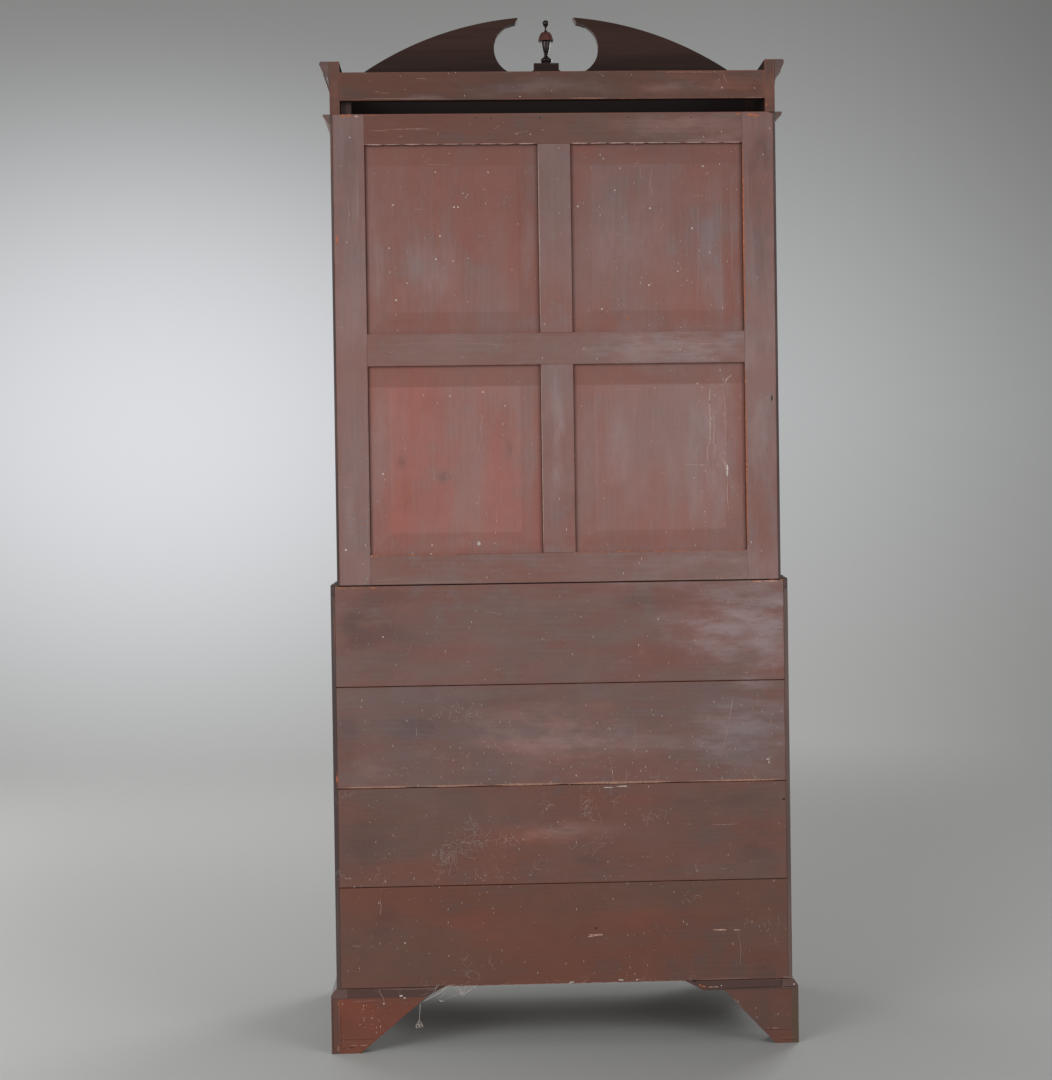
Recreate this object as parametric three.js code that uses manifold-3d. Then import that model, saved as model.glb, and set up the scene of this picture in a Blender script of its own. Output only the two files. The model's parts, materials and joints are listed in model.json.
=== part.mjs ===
// A bureau bookcase. A fall-front bureau on bracket feet carries a glazed bookcase, and a cornice
// with a broken arch pediment and a turned finial stands on the bookcase.
// Lengths are millimetres. +X is to the right as seen from the front, -Y is the front, +Z is up.

import * as THREE from 'three';
import { mergeVertices } from 'three/addons/utils/BufferGeometryUtils.js';
import Module from 'manifold-3d';

const wasm = await Module();
wasm.setup();

// Fits that several joints share
const fit = 0.3;
const overrun = 5;
const bury = 1;
const housingDepth = 6;

// Bureau carcase
const bureauWidth = 1016;
const bureauDepth = 570;
const caseBoard = 20;
const caseFloorBoard = 18;
const dustboardThickness = 16;
const writingBedThickness = 20;
const deskSpaceHeight = 254;
const deskTopDepth = 383;
const sideEdgeStrip = 9;
const backBoardThickness = 14;
const backBoardSeam = 1.2;
const backBoardArris = 1.4;
const backBoardHeightShares = [0.252, 0.252, 0.246, 0.25];

// Bracket feet and base moulding
const footHeight = 122;
const bracketThickness = 17;
const frontBracketWidth = 205;
const sideBracketWidth = 185;
const toeWidth = 78;
const bracketLip = 20;
const glueBlockWidth = 42;
const rearToeWidth = 64;
const rearBracketWidth = 211;
const rearStripInset = 42;
const rearPadHeight = 30;
const rearPadGroove = 1.2;
const ankleShares = { x: 0.16, z: 0.42 };
const toeCurveShare = 0.3;
const ogeeShares = { start: 0.3, end: 0.42 };
const baseMouldingHeight = 22;
const baseMouldingWidth = 37;
const baseMouldingReach = 13;

// Drawers of the bureau, from the top one down
const drawerOpeningHeights = [92, 128, 147, 167];
const drawerBackClearance = 35.7;
const drawerGap = 1.5;
const drawerBoards = { front: 20, side: 11, back: 11, bottom: 8, drop: 8 };
const cockbead = { width: 3, reach: 2 };
const knobRadius = 19;
const knobReach = 28;
const knobPlaceShare = 0.56;

// Lopers, which slide out to carry the open fall
const loperThickness = 22;
const loperLength = 330;
const loperGap = 1.5;
const loperHeadroom = 0.5;
const loperPartition = 18;
const loperKnobRadius = 8;
const loperKnobReach = 16;

// Fall front
const fallThickness = 20;
const fallGap = 0.5;
const fallEndGap = 0.6;
const fallTopGap = 1.6;
const fallBevel = 7;
const fallBevelHeight = 5;
const fallBorder = 58;
const fallRecess = 0.8;

// Fitted interior of the desk
const fitmentDepth = 205;
const fitmentBoard = 6;
const fitmentTopBoard = 9;
const fitmentBackGap = 6;
const cupboardWidth = 148;
const cupboardDoorThickness = 14;
const cupboardDoorGap = 1.2;
const cupboardDoorField = 22;
const cupboardDoorSink = 4;
const smallDrawerHeight = 62;
const smallDrawerGap = 1;
const smallDrawerBoards = { front: 10, side: 5, back: 5, bottom: 4, drop: 4 };
const smallBead = { width: 2, reach: 1 };
const smallKnobRadius = 7;
const smallKnobReach = 13;
const pigeonholesPerSide = 4;
const archDropShare = 0.2;

// Bookcase carcase
const bookcaseInset = 15;
const bookcaseHeight = 1039.5;
const bookcaseDepth = 350;
const doorThickness = 22;
const bookcaseBoard = 20;
const bookcaseEdgeStrip = 5;
const shelfThickness = 16;
const shelfTongue = 10;
const shelfSetback = 22;
const shelfHeightShares = [0.34, 0.67];

// Framed and panelled back of the bookcase
const backFrameThickness = 20;
const backStileWidth = 69;
const backMuntinWidth = 72;
const backTopRail = 67.5;
const backMiddleRail = 70.5;
const backBottomRail = 67;
const panelGrooveDepth = 9;
const panelGrooveSetback = 8;
const panelTongue = 6;
const panelFieldProud = 5;
const panelBevel = 46;
const panelShoulder = 3;
const panelPlay = 1;

// Glazed doors
const doorGap = 1.5;
const doorStile = 48;
const doorRail = 48;
const doorHingeOutset = 2;
const barWidth = 15;
const barFrontWidth = 6;
const barDepth = 12;
const barShoulderShare = 0.35;
const glassThickness = 3;
const glassRebate = 7;
const meetingBeadWidth = 12;
const meetingBeadReach = 4;

// Mouldings at the waist and the neck
const waistMouldingHeight = 9;
const neckMouldingHeight = 19.5;
const neckMouldingReach = 15.5;

// Cornice and pediment
const corniceBoard = 22;
const corniceHeight = 116;
const corniceMouldingHeight = 57;
const corniceMouldingReach = 22;
const rearRailThickness = 20;
const rearRailHeight = 62;
const rearRailSlot = 30;
const archRadius = 790;
const archRise = 179.5;
const archMouldingHeight = 14;
const archMouldingReach = 13;
const archMouldingStep = 4;
const archBoardSink = 3;
const hornTipX = 64.7;
const hornTipSlant = 8.2;
const hornTipDepth = 14.2;
const eyeRadius = 62;
const eyeHeight = 101;
const plinthWidth = 59.4;
const plinthNeckInset = 1.1;
const plinthBlockHeight = 12.5;
const plinthNeckHeight = 2;
const plinthFlareHeight = 12.5;
const plinthFlareReach = 15;

// Finial, with its profile as shares of its radius and of its height above the plinth
const dowelRadius = 4;
const dowelLength = 16;
const finialRadius = 18.5;
const finialHeight = 103.8;
const ballRadius = 7.8;
const finialShares = {
  base: [
    [0.54, 0], [0.54, 0.015], [0.7, 0.042], [0.76, 0.072],
    [0.7, 0.098], [0.49, 0.131], [0.28, 0.166], [0.22, 0.197],
  ],
  vase: [[0.24, 0.222], [0.38, 0.279], [0.5, 0.356], [0.57, 0.443], [0.59, 0.505]],
  dome: [[1, 0.509], [0.99, 0.536], [0.89, 0.597], [0.77, 0.655], [0.66, 0.688], [0.54, 0.713]],
  neck: [[0.27, 0.726], [0.16, 0.761], [0.12, 0.8], [0.19, 0.832]],
};

// Facets of round forms
const knobSides = 12;
const finialSides = 20;
const arcSteps = 16;
const curveSteps = 6;

// Heights and places that follow from the sizes above
const bureauHalf = bureauWidth / 2;
const bureauInner = bureauHalf - caseBoard;
const baseTop = footHeight + baseMouldingHeight;
const caseBottom = baseTop + fit;
const baseHalf = bureauHalf + baseMouldingReach;
const baseFront = -bureauDepth - baseMouldingReach;
const drawerLevels = findDrawerLevels();
const writingBedBottom = drawerLevels[0] + drawerOpeningHeights[0];
const writingHeight = writingBedBottom + writingBedThickness;
const deskCeiling = writingHeight + deskSpaceHeight;
const bureauTop = deskCeiling + caseBoard;
const slope = Math.atan2(deskSpaceHeight, bureauDepth - deskTopDepth);
const slopeLength = Math.hypot(deskSpaceHeight, bureauDepth - deskTopDepth);
const partitionOuter = bureauInner - loperThickness - 2 * loperGap;
const partitionInner = partitionOuter - loperPartition;
const backInnerFace = -backBoardThickness - fit;
const drawerDepth = bureauDepth + backInnerFace - drawerBackClearance;

const bookcaseHalf = bureauHalf - bookcaseInset;
const bookcaseInner = bookcaseHalf - bookcaseBoard;
const bookcaseBottom = bureauTop + fit;
const bookcaseTop = bookcaseBottom + bookcaseHeight;
const carcaseFront = -bookcaseDepth + doorThickness;
const doorBottom = bookcaseBottom + bookcaseBoard + doorGap;
const doorTop = bookcaseTop - bookcaseBoard - doorGap;
const backFrameHalf = bookcaseHalf - bookcaseEdgeStrip - fit;
const panelOuterX = backFrameHalf - backStileWidth;
const panelInnerX = backMuntinWidth / 2;
const panelHeight = (bookcaseHeight - backTopRail - backMiddleRail - backBottomRail) / 2;

const corniceBottom = bookcaseTop + fit;
const corniceTop = corniceBottom + corniceHeight;
const corniceInner = bookcaseHalf - corniceBoard;
const archCentreZ = corniceTop + archRise - archRadius;
const eyeCentreZ = corniceTop + eyeHeight;
const plinthTop = eyeCentreZ - eyeRadius + plinthFlareHeight + plinthNeckHeight + plinthBlockHeight;

const overallDepth = bureauDepth + knobReach;

function findDrawerLevels() {
  let level = footHeight + baseMouldingHeight + fit + caseFloorBoard;
  const levels = [];
  for (const height of [...drawerOpeningHeights].reverse()) {
    levels.unshift(level);
    level += height + dustboardThickness;
  }
  return levels;
}

// Materials
const finish = (color, roughness, metalness = 0) => ({ color, roughness, metalness });
const finishes = {
  polished: finish(0x5b2c1d, 0.38),
  carcase: finish(0x5f3a33, 0.6),
  backPine: finish(0x75504b, 0.78),
  backBoards: finish(0x5f423e, 0.8),
  drawerWood: finish(0x6a3524, 0.45),
  interior: finish(0x8a5a36, 0.5),
  darkTurned: finish(0x2b1a17, 0.25),
  glass: finish(0xbcc8c4, 0.05),
};

function materialOf(name) {
  const material = new THREE.MeshStandardMaterial(finishes[name]);
  if (name === 'glass') {
    material.transparent = true;
    material.opacity = 0.35;
  }
  return material;
}

// Solid modelling helpers
function closed(geometry) {
  const merged = mergeVertices(withoutExtras(geometry));
  const corners = merged.index.array;
  const kept = [];
  for (let i = 0; i < corners.length; i += 3) {
    const [a, b, c] = [corners[i], corners[i + 1], corners[i + 2]];
    if (a !== b && b !== c && c !== a) {
      kept.push(a, b, c);
    }
  }
  merged.setIndex(signedVolume(merged, kept) < 0 ? flipped(kept) : kept);
  return merged;
}

function withoutExtras(geometry) {
  const bare = geometry.clone();
  bare.deleteAttribute('normal');
  bare.deleteAttribute('uv');
  bare.clearGroups();
  return bare;
}

function flipped(index) {
  const turned = [];
  for (let i = 0; i < index.length; i += 3) {
    turned.push(index[i + 2], index[i + 1], index[i]);
  }
  return turned;
}

function signedVolume(geometry, index) {
  const corner = (i) => new THREE.Vector3().fromBufferAttribute(geometry.attributes.position, index[i]);
  let volume = 0;
  for (let i = 0; i < index.length; i += 3) {
    volume += corner(i).dot(corner(i + 1).cross(corner(i + 2)));
  }
  return volume;
}

function toSolid(geometry) {
  const mesh = closed(geometry);
  return new wasm.Manifold(new wasm.Mesh({
    numProp: 3,
    vertProperties: new Float32Array(mesh.attributes.position.array),
    triVerts: new Uint32Array(mesh.index.array),
  }));
}

function toGeometry(solid) {
  const mesh = solid.getMesh();
  const geometry = new THREE.BufferGeometry();
  geometry.setAttribute('position', new THREE.BufferAttribute(mesh.vertProperties, mesh.numProp));
  geometry.setIndex(new THREE.BufferAttribute(mesh.triVerts, 1));
  return geometry;
}

function join(first, ...others) {
  return toGeometry(others.reduce((solid, other) => solid.add(toSolid(other)), toSolid(first)));
}

function cut(first, ...tools) {
  return toGeometry(tools.reduce((solid, tool) => solid.subtract(toSolid(tool)), toSolid(first)));
}

function mirrored(geometry) {
  const copy = closed(geometry).applyMatrix4(new THREE.Matrix4().makeScale(-1, 1, 1));
  copy.setIndex(flipped(copy.index.array));
  return copy;
}

function block(x0, x1, y0, y1, z0, z1) {
  const box = new THREE.BoxGeometry(x1 - x0, y1 - y0, z1 - z0);
  return box.translate((x0 + x1) / 2, (y0 + y1) / 2, (z0 + z1) / 2);
}

function outline(points) {
  return new THREE.Shape(points.map(([a, b]) => new THREE.Vector2(a, b)));
}

function extruded(shape, depth, curveSegments = curveSteps) {
  return new THREE.ExtrudeGeometry(shape, { depth, curveSegments, bevelEnabled: false });
}

// An outline in X and Z, given thickness from y0 to y1
function facing(shape, y0, y1, curveSegments) {
  return extruded(shape, y1 - y0, curveSegments).rotateX(Math.PI / 2).translate(0, y1, 0);
}

// An outline in Y and Z, given thickness from x0 to x1
function sideways(shape, x0, x1, curveSegments) {
  const turn = new THREE.Matrix4().makeBasis(
    new THREE.Vector3(0, 1, 0),
    new THREE.Vector3(0, 0, 1),
    new THREE.Vector3(1, 0, 0),
  );
  return extruded(shape, x1 - x0, curveSegments).applyMatrix4(turn).translate(x0, 0, 0);
}

// An outline in X and Y, given thickness from z0 to z1
function level(shape, z0, z1, curveSegments) {
  return extruded(shape, z1 - z0, curveSegments).translate(0, 0, z0);
}

// A skin over rings of points that all follow one profile, with a cap at each end
function loft(profile, rings) {
  if (THREE.ShapeUtils.isClockWise(profile)) {
    return loft([...profile].reverse(), rings.map((ring) => [...ring].reverse()));
  }
  const count = profile.length;
  const lastRing = (rings.length - 1) * count;
  const index = [];
  for (let start = 0; start < lastRing; start += count) {
    for (let corner = 0; corner < count; corner += 1) {
      const a = start + corner;
      const b = start + (corner + 1) % count;
      index.push(a, b, b + count, a, b + count, a + count);
    }
  }
  for (const [a, b, c] of THREE.ShapeUtils.triangulateShape(profile, [])) {
    index.push(c, b, a, a + lastRing, b + lastRing, c + lastRing);
  }
  const geometry = new THREE.BufferGeometry();
  const places = rings.flat().flatMap((point) => point.toArray());
  geometry.setAttribute('position', new THREE.Float32BufferAttribute(places, 3));
  geometry.setIndex(index);
  return closed(geometry);
}

// Rectangles in X and Y, one above another, skinned into one solid
function stackedRectangles(levels) {
  const unit = [[-1, -1], [1, -1], [1, 1], [-1, 1]].map(([a, b]) => new THREE.Vector2(a, b));
  const rings = levels.map(({ halfX, halfY, z }) => (
    unit.map((corner) => new THREE.Vector3(corner.x * halfX, corner.y * halfY, z))
  ));
  return loft(unit, rings);
}

// A moulding round the left, front and right of a case, mitred at the two front corners
function threeSidedMoulding(profile, halfWidth, frontY, bottomZ) {
  const ring = (side, y, mitre) => profile.map(([reach, height]) => (
    new THREE.Vector3(side * (halfWidth + reach), y - mitre * reach, bottomZ + height)
  ));
  const rings = [ring(-1, 0, 0), ring(-1, frontY, 1), ring(1, frontY, 1), ring(1, 0, 0)];
  return loft(profile.map(([reach, height]) => new THREE.Vector2(reach, height)), rings);
}

function scaledProfile(shares, reach, height) {
  return shares.map(([a, b]) => [a * reach, b * height]);
}

function turned(profile, sides) {
  const points = profile.map(([radius, height]) => new THREE.Vector2(radius, height));
  return closed(new THREE.LatheGeometry(points, sides).rotateX(Math.PI / 2));
}

const knobShares = [
  [0, 0], [0.72, 0], [0.72, 0.1], [0.36, 0.22], [0.34, 0.42],
  [0.8, 0.58], [1, 0.76], [0.84, 0.94], [0.4, 1], [0, 1],
];

// A turned knob whose stem is buried in the face at y = 0 and which points to the front
function turnedKnob(radius, reach) {
  const profile = scaledProfile(knobShares, radius, reach + bury);
  return turned(profile, knobSides).rotateX(Math.PI / 2).translate(0, bury, 0);
}

const model = new THREE.Group();
model.position.y = overallDepth / 2;

function add(name, geometry, finishName, parent = model) {
  const flat = closed(geometry).toNonIndexed();
  flat.computeVertexNormals();
  const mesh = new THREE.Mesh(flat, materialOf(finishName));
  mesh.name = name;
  parent.add(mesh);
  return mesh;
}

function addPair(baseName, rightGeometry, finishName) {
  add(`${baseName}_right`, rightGeometry, finishName);
  add(`${baseName}_left`, mirrored(rightGeometry), finishName);
}

function groupAt(x, y, z) {
  const group = new THREE.Group();
  group.position.set(x, y, z);
  model.add(group);
  return group;
}

// Bracket feet
function bracketOutline(width) {
  const span = width - toeWidth;
  const rise = footHeight - bracketLip;
  const ankle = { x: toeWidth + span * ankleShares.x, z: rise * ankleShares.z };
  const ogeeStart = ankle.x + span * ogeeShares.start;
  const ogeeEnd = width - span * ogeeShares.end;
  const shape = new THREE.Shape();
  shape.moveTo(0, 0);
  shape.lineTo(toeWidth, 0);
  shape.quadraticCurveTo(toeWidth, rise * toeCurveShare, ankle.x, ankle.z);
  shape.bezierCurveTo(ogeeStart, ankle.z, ogeeEnd, rise, width, rise);
  shape.lineTo(width, footHeight);
  shape.lineTo(0, footHeight);
  return shape;
}

function sideBracket(cornerY, direction) {
  const plate = sideways(bracketOutline(sideBracketWidth), baseHalf - bracketThickness, baseHalf);
  const facingInwards = new THREE.Matrix4().makeScale(1, direction, 1);
  return closed(closed(plate).applyMatrix4(facingInwards)).translate(0, cornerY, 0);
}

function glueBlock(cornerY, direction) {
  const outerX = baseHalf - bracketThickness + bury;
  const nearY = cornerY + direction * (bracketThickness - bury);
  const farY = nearY + direction * glueBlockWidth;
  const [y0, y1] = [Math.min(nearY, farY), Math.max(nearY, farY)];
  return block(outerX - glueBlockWidth, outerX, y0, y1, 0, footHeight);
}

function frontFoot() {
  const front = facing(bracketOutline(frontBracketWidth), baseFront, baseFront + bracketThickness);
  const facingFront = mirrored(front).translate(baseHalf, 0, 0);
  return join(facingFront, sideBracket(baseFront, 1), glueBlock(baseFront, 1));
}

function rearFoot() {
  const stripOuter = baseHalf - baseMouldingWidth - fit;
  const inner = baseHalf - rearBracketWidth;
  const board = facing(outline([
    [baseHalf, 0],
    [baseHalf, footHeight],
    [stripOuter, footHeight],
    [stripOuter, baseTop],
    [inner - rearStripInset, baseTop],
    [inner, footHeight],
    [baseHalf - rearToeWidth, 0],
  ]), -bracketThickness, 0);
  const padSeam = block(
    baseHalf - rearBracketWidth, baseHalf - bracketThickness,
    -rearPadGroove, overrun,
    rearPadHeight, rearPadHeight + rearPadGroove,
  );
  return join(cut(board, padSeam), sideBracket(0, -1), glueBlock(0, -1));
}

// Carcase sides share a rebate for the back and housings for the boards they carry
function sidePanel(yzOutline, outerX, thickness, strip, backThickness) {
  const inner = outerX - thickness;
  const plate = sideways(yzOutline, inner, outerX);
  const rebateTop = bookcaseTop + overrun;
  const rebateFront = -backThickness - fit;
  return cut(plate, block(inner - overrun, outerX - strip, rebateFront, overrun, 0, rebateTop));
}

function housing(innerX, y0, y1, z0, z1) {
  return block(innerX - overrun, innerX + housingDepth, y0 - fit, y1 + fit, z0 - fit, z1 + fit);
}

function bureauSide() {
  const shape = outline([
    [0, caseBottom],
    [0, deskCeiling - fit],
    [-deskTopDepth, deskCeiling - fit],
    [-bureauDepth, writingHeight],
    [-bureauDepth, caseBottom],
  ]);
  const panel = sidePanel(shape, bureauHalf, caseBoard, sideEdgeStrip, backBoardThickness);
  const bottomBoard = [caseBottom, caseBottom + caseFloorBoard];
  const boards = [bottomBoard, ...dustboardLevels(), [writingBedBottom, writingHeight]];
  return cut(panel, ...boards.map(([z0, z1]) => (
    housing(bureauInner, -bureauDepth - overrun, backInnerFace, z0, z1)
  )));
}

function dustboardLevels() {
  return drawerLevels.slice(0, -1).map((z) => [z - dustboardThickness, z]);
}

function housedBoard(z0, z1) {
  const half = bureauInner + housingDepth - fit;
  return block(-half, half, -bureauDepth, backInnerFace, z0, z1);
}

function bureauTopBoard() {
  const undercut = caseBoard / Math.tan(Math.PI / 2 - slope);
  const shape = outline([
    [0, deskCeiling],
    [0, bureauTop],
    [-deskTopDepth - undercut, bureauTop],
    [-deskTopDepth, deskCeiling],
  ]);
  const rebateHalf = bureauHalf - sideEdgeStrip;
  return cut(
    sideways(shape, -bureauHalf, bureauHalf),
    block(-rebateHalf, rebateHalf, backInnerFace, overrun, deskCeiling - overrun, bureauTop + overrun),
  );
}

function bureauBackBoard(z0, z1) {
  const half = bureauHalf - sideEdgeStrip - fit;
  const arris = backBoardArris;
  const shape = outline([
    [-backBoardThickness, z0],
    [-arris, z0],
    [0, z0 + arris],
    [0, z1 - arris],
    [-arris, z1],
    [-backBoardThickness, z1],
  ]);
  return sideways(shape, -half, half);
}

function addBureauBack() {
  const height = bureauTop - caseBottom;
  let upper = bureauTop;
  backBoardHeightShares.forEach((share, number) => {
    const lower = upper - share * height;
    const seam = number < backBoardHeightShares.length - 1 ? backBoardSeam : 0;
    add(`bureau_back_board_${number + 1}`, bureauBackBoard(lower + seam, upper), 'backBoards');
    upper = lower;
  });
}

function writingBed() {
  const partition = block(
    partitionInner, partitionOuter,
    -bureauDepth, backInnerFace,
    drawerLevels[0] + fit, writingBedBottom + bury,
  );
  return join(housedBoard(writingBedBottom, writingHeight), partition, mirrored(partition));
}

function addBureau() {
  addPair('foot_front', frontFoot(), 'polished');
  addPair('foot_rear', rearFoot(), 'carcase');
  const baseShares = [
    [0, 0], [1, 0], [1, 0.32], [0.82, 0.5], [0.58, 0.69], [0.27, 0.95], [0.1, 1], [0, 1],
  ];
  const inward = baseMouldingWidth - baseMouldingReach;
  const profile = baseShares.map(([a, b]) => [
    a === 0 ? -inward : a * baseMouldingReach,
    fit + b * (baseMouldingHeight - fit),
  ]);
  add('base_moulding', threeSidedMoulding(profile, bureauHalf, -bureauDepth, footHeight), 'polished');
  addPair('bureau_side', bureauSide(), 'polished');
  add('bureau_bottom', housedBoard(caseBottom, caseBottom + caseFloorBoard), 'carcase');
  dustboardLevels().forEach(([z0, z1], number) => {
    add(`dustboard_${number + 1}`, housedBoard(z0, z1), 'carcase');
  });
  add('writing_bed', writingBed(), 'interior');
  add('bureau_top', bureauTopBoard(), 'polished');
  addBureauBack();
}

// Drawers are built with their front face at y = 0 and their floor at z = 0
function drawerSolid({ width, height, depth, boards, bead, knobPlaces, knob }) {
  const half = width / 2;
  const shell = block(-half, half, -bead.reach, depth, 0, height);
  const faceHalf = half - bead.width;
  const face = block(-faceHalf, faceHalf, -bead.reach - overrun, 0, bead.width, height - bead.width);
  const insideHalf = half - boards.side;
  const inside = block(
    -insideHalf, insideHalf, boards.front, depth - boards.back, boards.bottom, height + overrun,
  );
  const drop = block(
    -half - overrun, half + overrun,
    boards.front, depth + overrun,
    height - boards.drop, height + overrun,
  );
  const knobs = knobPlaces.map((x) => (
    turnedKnob(knob.radius, knob.reach).translate(x, 0, height / 2)
  ));
  return join(cut(shell, face, inside, drop), ...knobs);
}

function addDrawers() {
  drawerOpeningHeights.forEach((openingHeight, number) => {
    const openingHalf = number === 0 ? partitionInner : bureauInner;
    const place = bureauInner * knobPlaceShare;
    const drawer = drawerSolid({
      width: 2 * (openingHalf - drawerGap),
      height: openingHeight - drawerGap - fit,
      depth: drawerDepth,
      boards: drawerBoards,
      bead: cockbead,
      knobPlaces: [-place, place],
      knob: { radius: knobRadius, reach: knobReach },
    });
    const group = groupAt(0, -bureauDepth, drawerLevels[number] + fit);
    add(`drawer_${number + 1}`, drawer, 'drawerWood', group);
  });
}

function addLopers() {
  const height = drawerOpeningHeights[0] - fit - loperHeadroom;
  const body = block(-loperThickness / 2, loperThickness / 2, 0, loperLength, 0, height);
  const knob = turnedKnob(loperKnobRadius, loperKnobReach).translate(0, 0, height / 2);
  const loper = join(body, knob);
  const centreX = bureauInner - loperGap - loperThickness / 2;
  for (const [side, name] of [[1, 'right'], [-1, 'left']]) {
    const group = groupAt(side * centreX, -bureauDepth, drawerLevels[0] + fit);
    add(`loper_${name}`, loper.clone(), 'polished', group);
  }
}

// The fall is built flat, from its hinge edge at y = 0, and leans back against the slope
function addFall() {
  const length = slopeLength - fallEndGap - fallTopGap;
  const bottomHalf = { halfX: bureauHalf, halfY: length / 2 };
  const topHalf = { halfX: bureauHalf - fallBevel, halfY: length / 2 - fallBevel };
  const board = stackedRectangles([
    { ...bottomHalf, z: 0 },
    { ...bottomHalf, z: fallThickness - fallBevelHeight },
    { ...topHalf, z: fallThickness },
  ]);
  const leatherHalf = bureauHalf - fallBorder;
  const leatherReach = length / 2 - fallBorder;
  const recess = block(-leatherHalf, leatherHalf, -leatherReach, leatherReach, -overrun, fallRecess);
  const fall = cut(board, recess).translate(0, fallEndGap + length / 2, 0);
  const group = groupAt(0, -bureauDepth - fallGap, writingHeight);
  group.rotation.x = slope;
  add('fall_front', fall, 'polished', group);
}

// Desk interior: pigeonholes over small drawers, with a cupboard in the middle
const fitmentHalf = bureauInner - fit;
const fitmentBack = backInnerFace - fitmentBackGap;
const fitmentFront = fitmentBack - fitmentDepth;
const fitmentBottom = writingHeight + fit;
const fitmentTop = deskCeiling - fit;
const bayFloor = fitmentBottom + fitmentBoard;
const bayCeiling = fitmentTop - fitmentTopBoard;
const bayStart = cupboardWidth / 2 + fitmentBoard;
const bayPitch = (fitmentHalf - bayStart) / pigeonholesPerSide;
const bayWidth = bayPitch - fitmentBoard;
const drawerBaySpan = 2 * bayPitch - fitmentBoard;
const pigeonholeFloor = bayFloor + smallDrawerHeight + fitmentBoard;

function bayCutter(shape) {
  return facing(shape, fitmentFront - overrun, fitmentBack - fitmentBoard);
}

function rectangleOutline(x0, x1, z0, z1) {
  return outline([[x0, z0], [x1, z0], [x1, z1], [x0, z1]]);
}

function pigeonholeOutline(x0) {
  const x1 = x0 + bayWidth;
  const middle = (x0 + x1) / 2;
  const springing = bayCeiling - (bayCeiling - pigeonholeFloor) * archDropShare;
  const shape = new THREE.Shape();
  shape.moveTo(x0, pigeonholeFloor);
  shape.lineTo(x1, pigeonholeFloor);
  shape.lineTo(x1, springing);
  shape.bezierCurveTo(x1, bayCeiling, middle, springing, middle, bayCeiling);
  shape.bezierCurveTo(middle, springing, x0, bayCeiling, x0, springing);
  return shape;
}

function interiorFitment() {
  const cupboardHalf = cupboardWidth / 2;
  const cutters = [bayCutter(rectangleOutline(-cupboardHalf, cupboardHalf, bayFloor, bayCeiling))];
  for (let bay = 0; bay < pigeonholesPerSide; bay += 1) {
    const x0 = bayStart + bay * bayPitch;
    const hole = bayCutter(pigeonholeOutline(x0));
    cutters.push(hole, mirrored(hole));
  }
  for (let pair = 0; pair < pigeonholesPerSide / 2; pair += 1) {
    const x0 = bayStart + pair * 2 * bayPitch;
    const x1 = x0 + drawerBaySpan;
    const hole = bayCutter(rectangleOutline(x0, x1, bayFloor, bayFloor + smallDrawerHeight));
    cutters.push(hole, mirrored(hole));
  }
  const whole = block(-fitmentHalf, fitmentHalf, fitmentFront, fitmentBack, fitmentBottom, fitmentTop);
  return cut(whole, ...cutters);
}

function addSmallDrawers() {
  const small = drawerSolid({
    width: drawerBaySpan - 2 * smallDrawerGap,
    height: smallDrawerHeight - smallDrawerGap - fit,
    depth: fitmentDepth - fitmentBoard - smallDrawerGap,
    boards: smallDrawerBoards,
    bead: smallBead,
    knobPlaces: [0],
    knob: { radius: smallKnobRadius, reach: smallKnobReach },
  });
  const innerCentre = bayStart + drawerBaySpan / 2;
  const outerCentre = innerCentre + 2 * bayPitch;
  [-outerCentre, -innerCentre, innerCentre, outerCentre].forEach((x, number) => {
    const group = groupAt(x, fitmentFront, bayFloor + fit);
    add(`interior_drawer_${number + 1}`, small.clone(), 'interior', group);
  });
}

function addCupboardDoor() {
  const width = cupboardWidth - fit - cupboardDoorGap;
  const height = bayCeiling - bayFloor - 2 * cupboardDoorGap;
  const slab = block(0, width, 0, cupboardDoorThickness, 0, height);
  const field = stackedRectangles([
    { halfX: width / 2 - cupboardDoorField, halfY: height / 2 - cupboardDoorField, z: cupboardDoorSink },
    { halfX: width / 2 - cupboardDoorField, halfY: height / 2 - cupboardDoorField, z: 0 },
    {
      halfX: width / 2 - cupboardDoorField + cupboardDoorSink,
      halfY: height / 2 - cupboardDoorField + cupboardDoorSink,
      z: -overrun,
    },
  ]).rotateX(-Math.PI / 2).translate(width / 2, 0, height / 2);
  const knob = turnedKnob(smallKnobRadius, smallKnobReach)
    .translate(width - cupboardDoorField / 2, 0, height / 2);
  const group = groupAt(-cupboardWidth / 2 + fit, fitmentFront, bayFloor + cupboardDoorGap);
  add('cupboard_door', join(cut(slab, field), knob), 'interior', group);
}

// Bookcase carcase
function shelfLevels() {
  const floor = bookcaseBottom + bookcaseBoard;
  const clear = bookcaseHeight - 2 * bookcaseBoard;
  return shelfHeightShares.map((share) => floor + share * clear);
}

function bookcaseSide() {
  const shape = rectangleOutline(carcaseFront, 0, bookcaseBottom, bookcaseTop);
  const panel = sidePanel(shape, bookcaseHalf, bookcaseBoard, bookcaseEdgeStrip, backFrameThickness);
  const grooves = shelfLevels().map((z) => housing(
    bookcaseInner, carcaseFront + shelfSetback, -backFrameThickness, z, z + shelfTongue,
  ));
  return cut(panel, ...grooves);
}

// A board between the sides that widens in front of them and ends flush with the doors
function bookcaseEndBoard(z0, z1) {
  const back = -backFrameThickness - fit;
  const innerHalf = bookcaseInner - fit;
  const noseBack = carcaseFront - fit;
  const shape = outline([
    [-innerHalf, back],
    [-innerHalf, noseBack],
    [-bookcaseHalf, noseBack],
    [-bookcaseHalf, -bookcaseDepth],
    [bookcaseHalf, -bookcaseDepth],
    [bookcaseHalf, noseBack],
    [innerHalf, noseBack],
    [innerHalf, back],
  ]);
  return level(shape, z0, z1);
}

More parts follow.
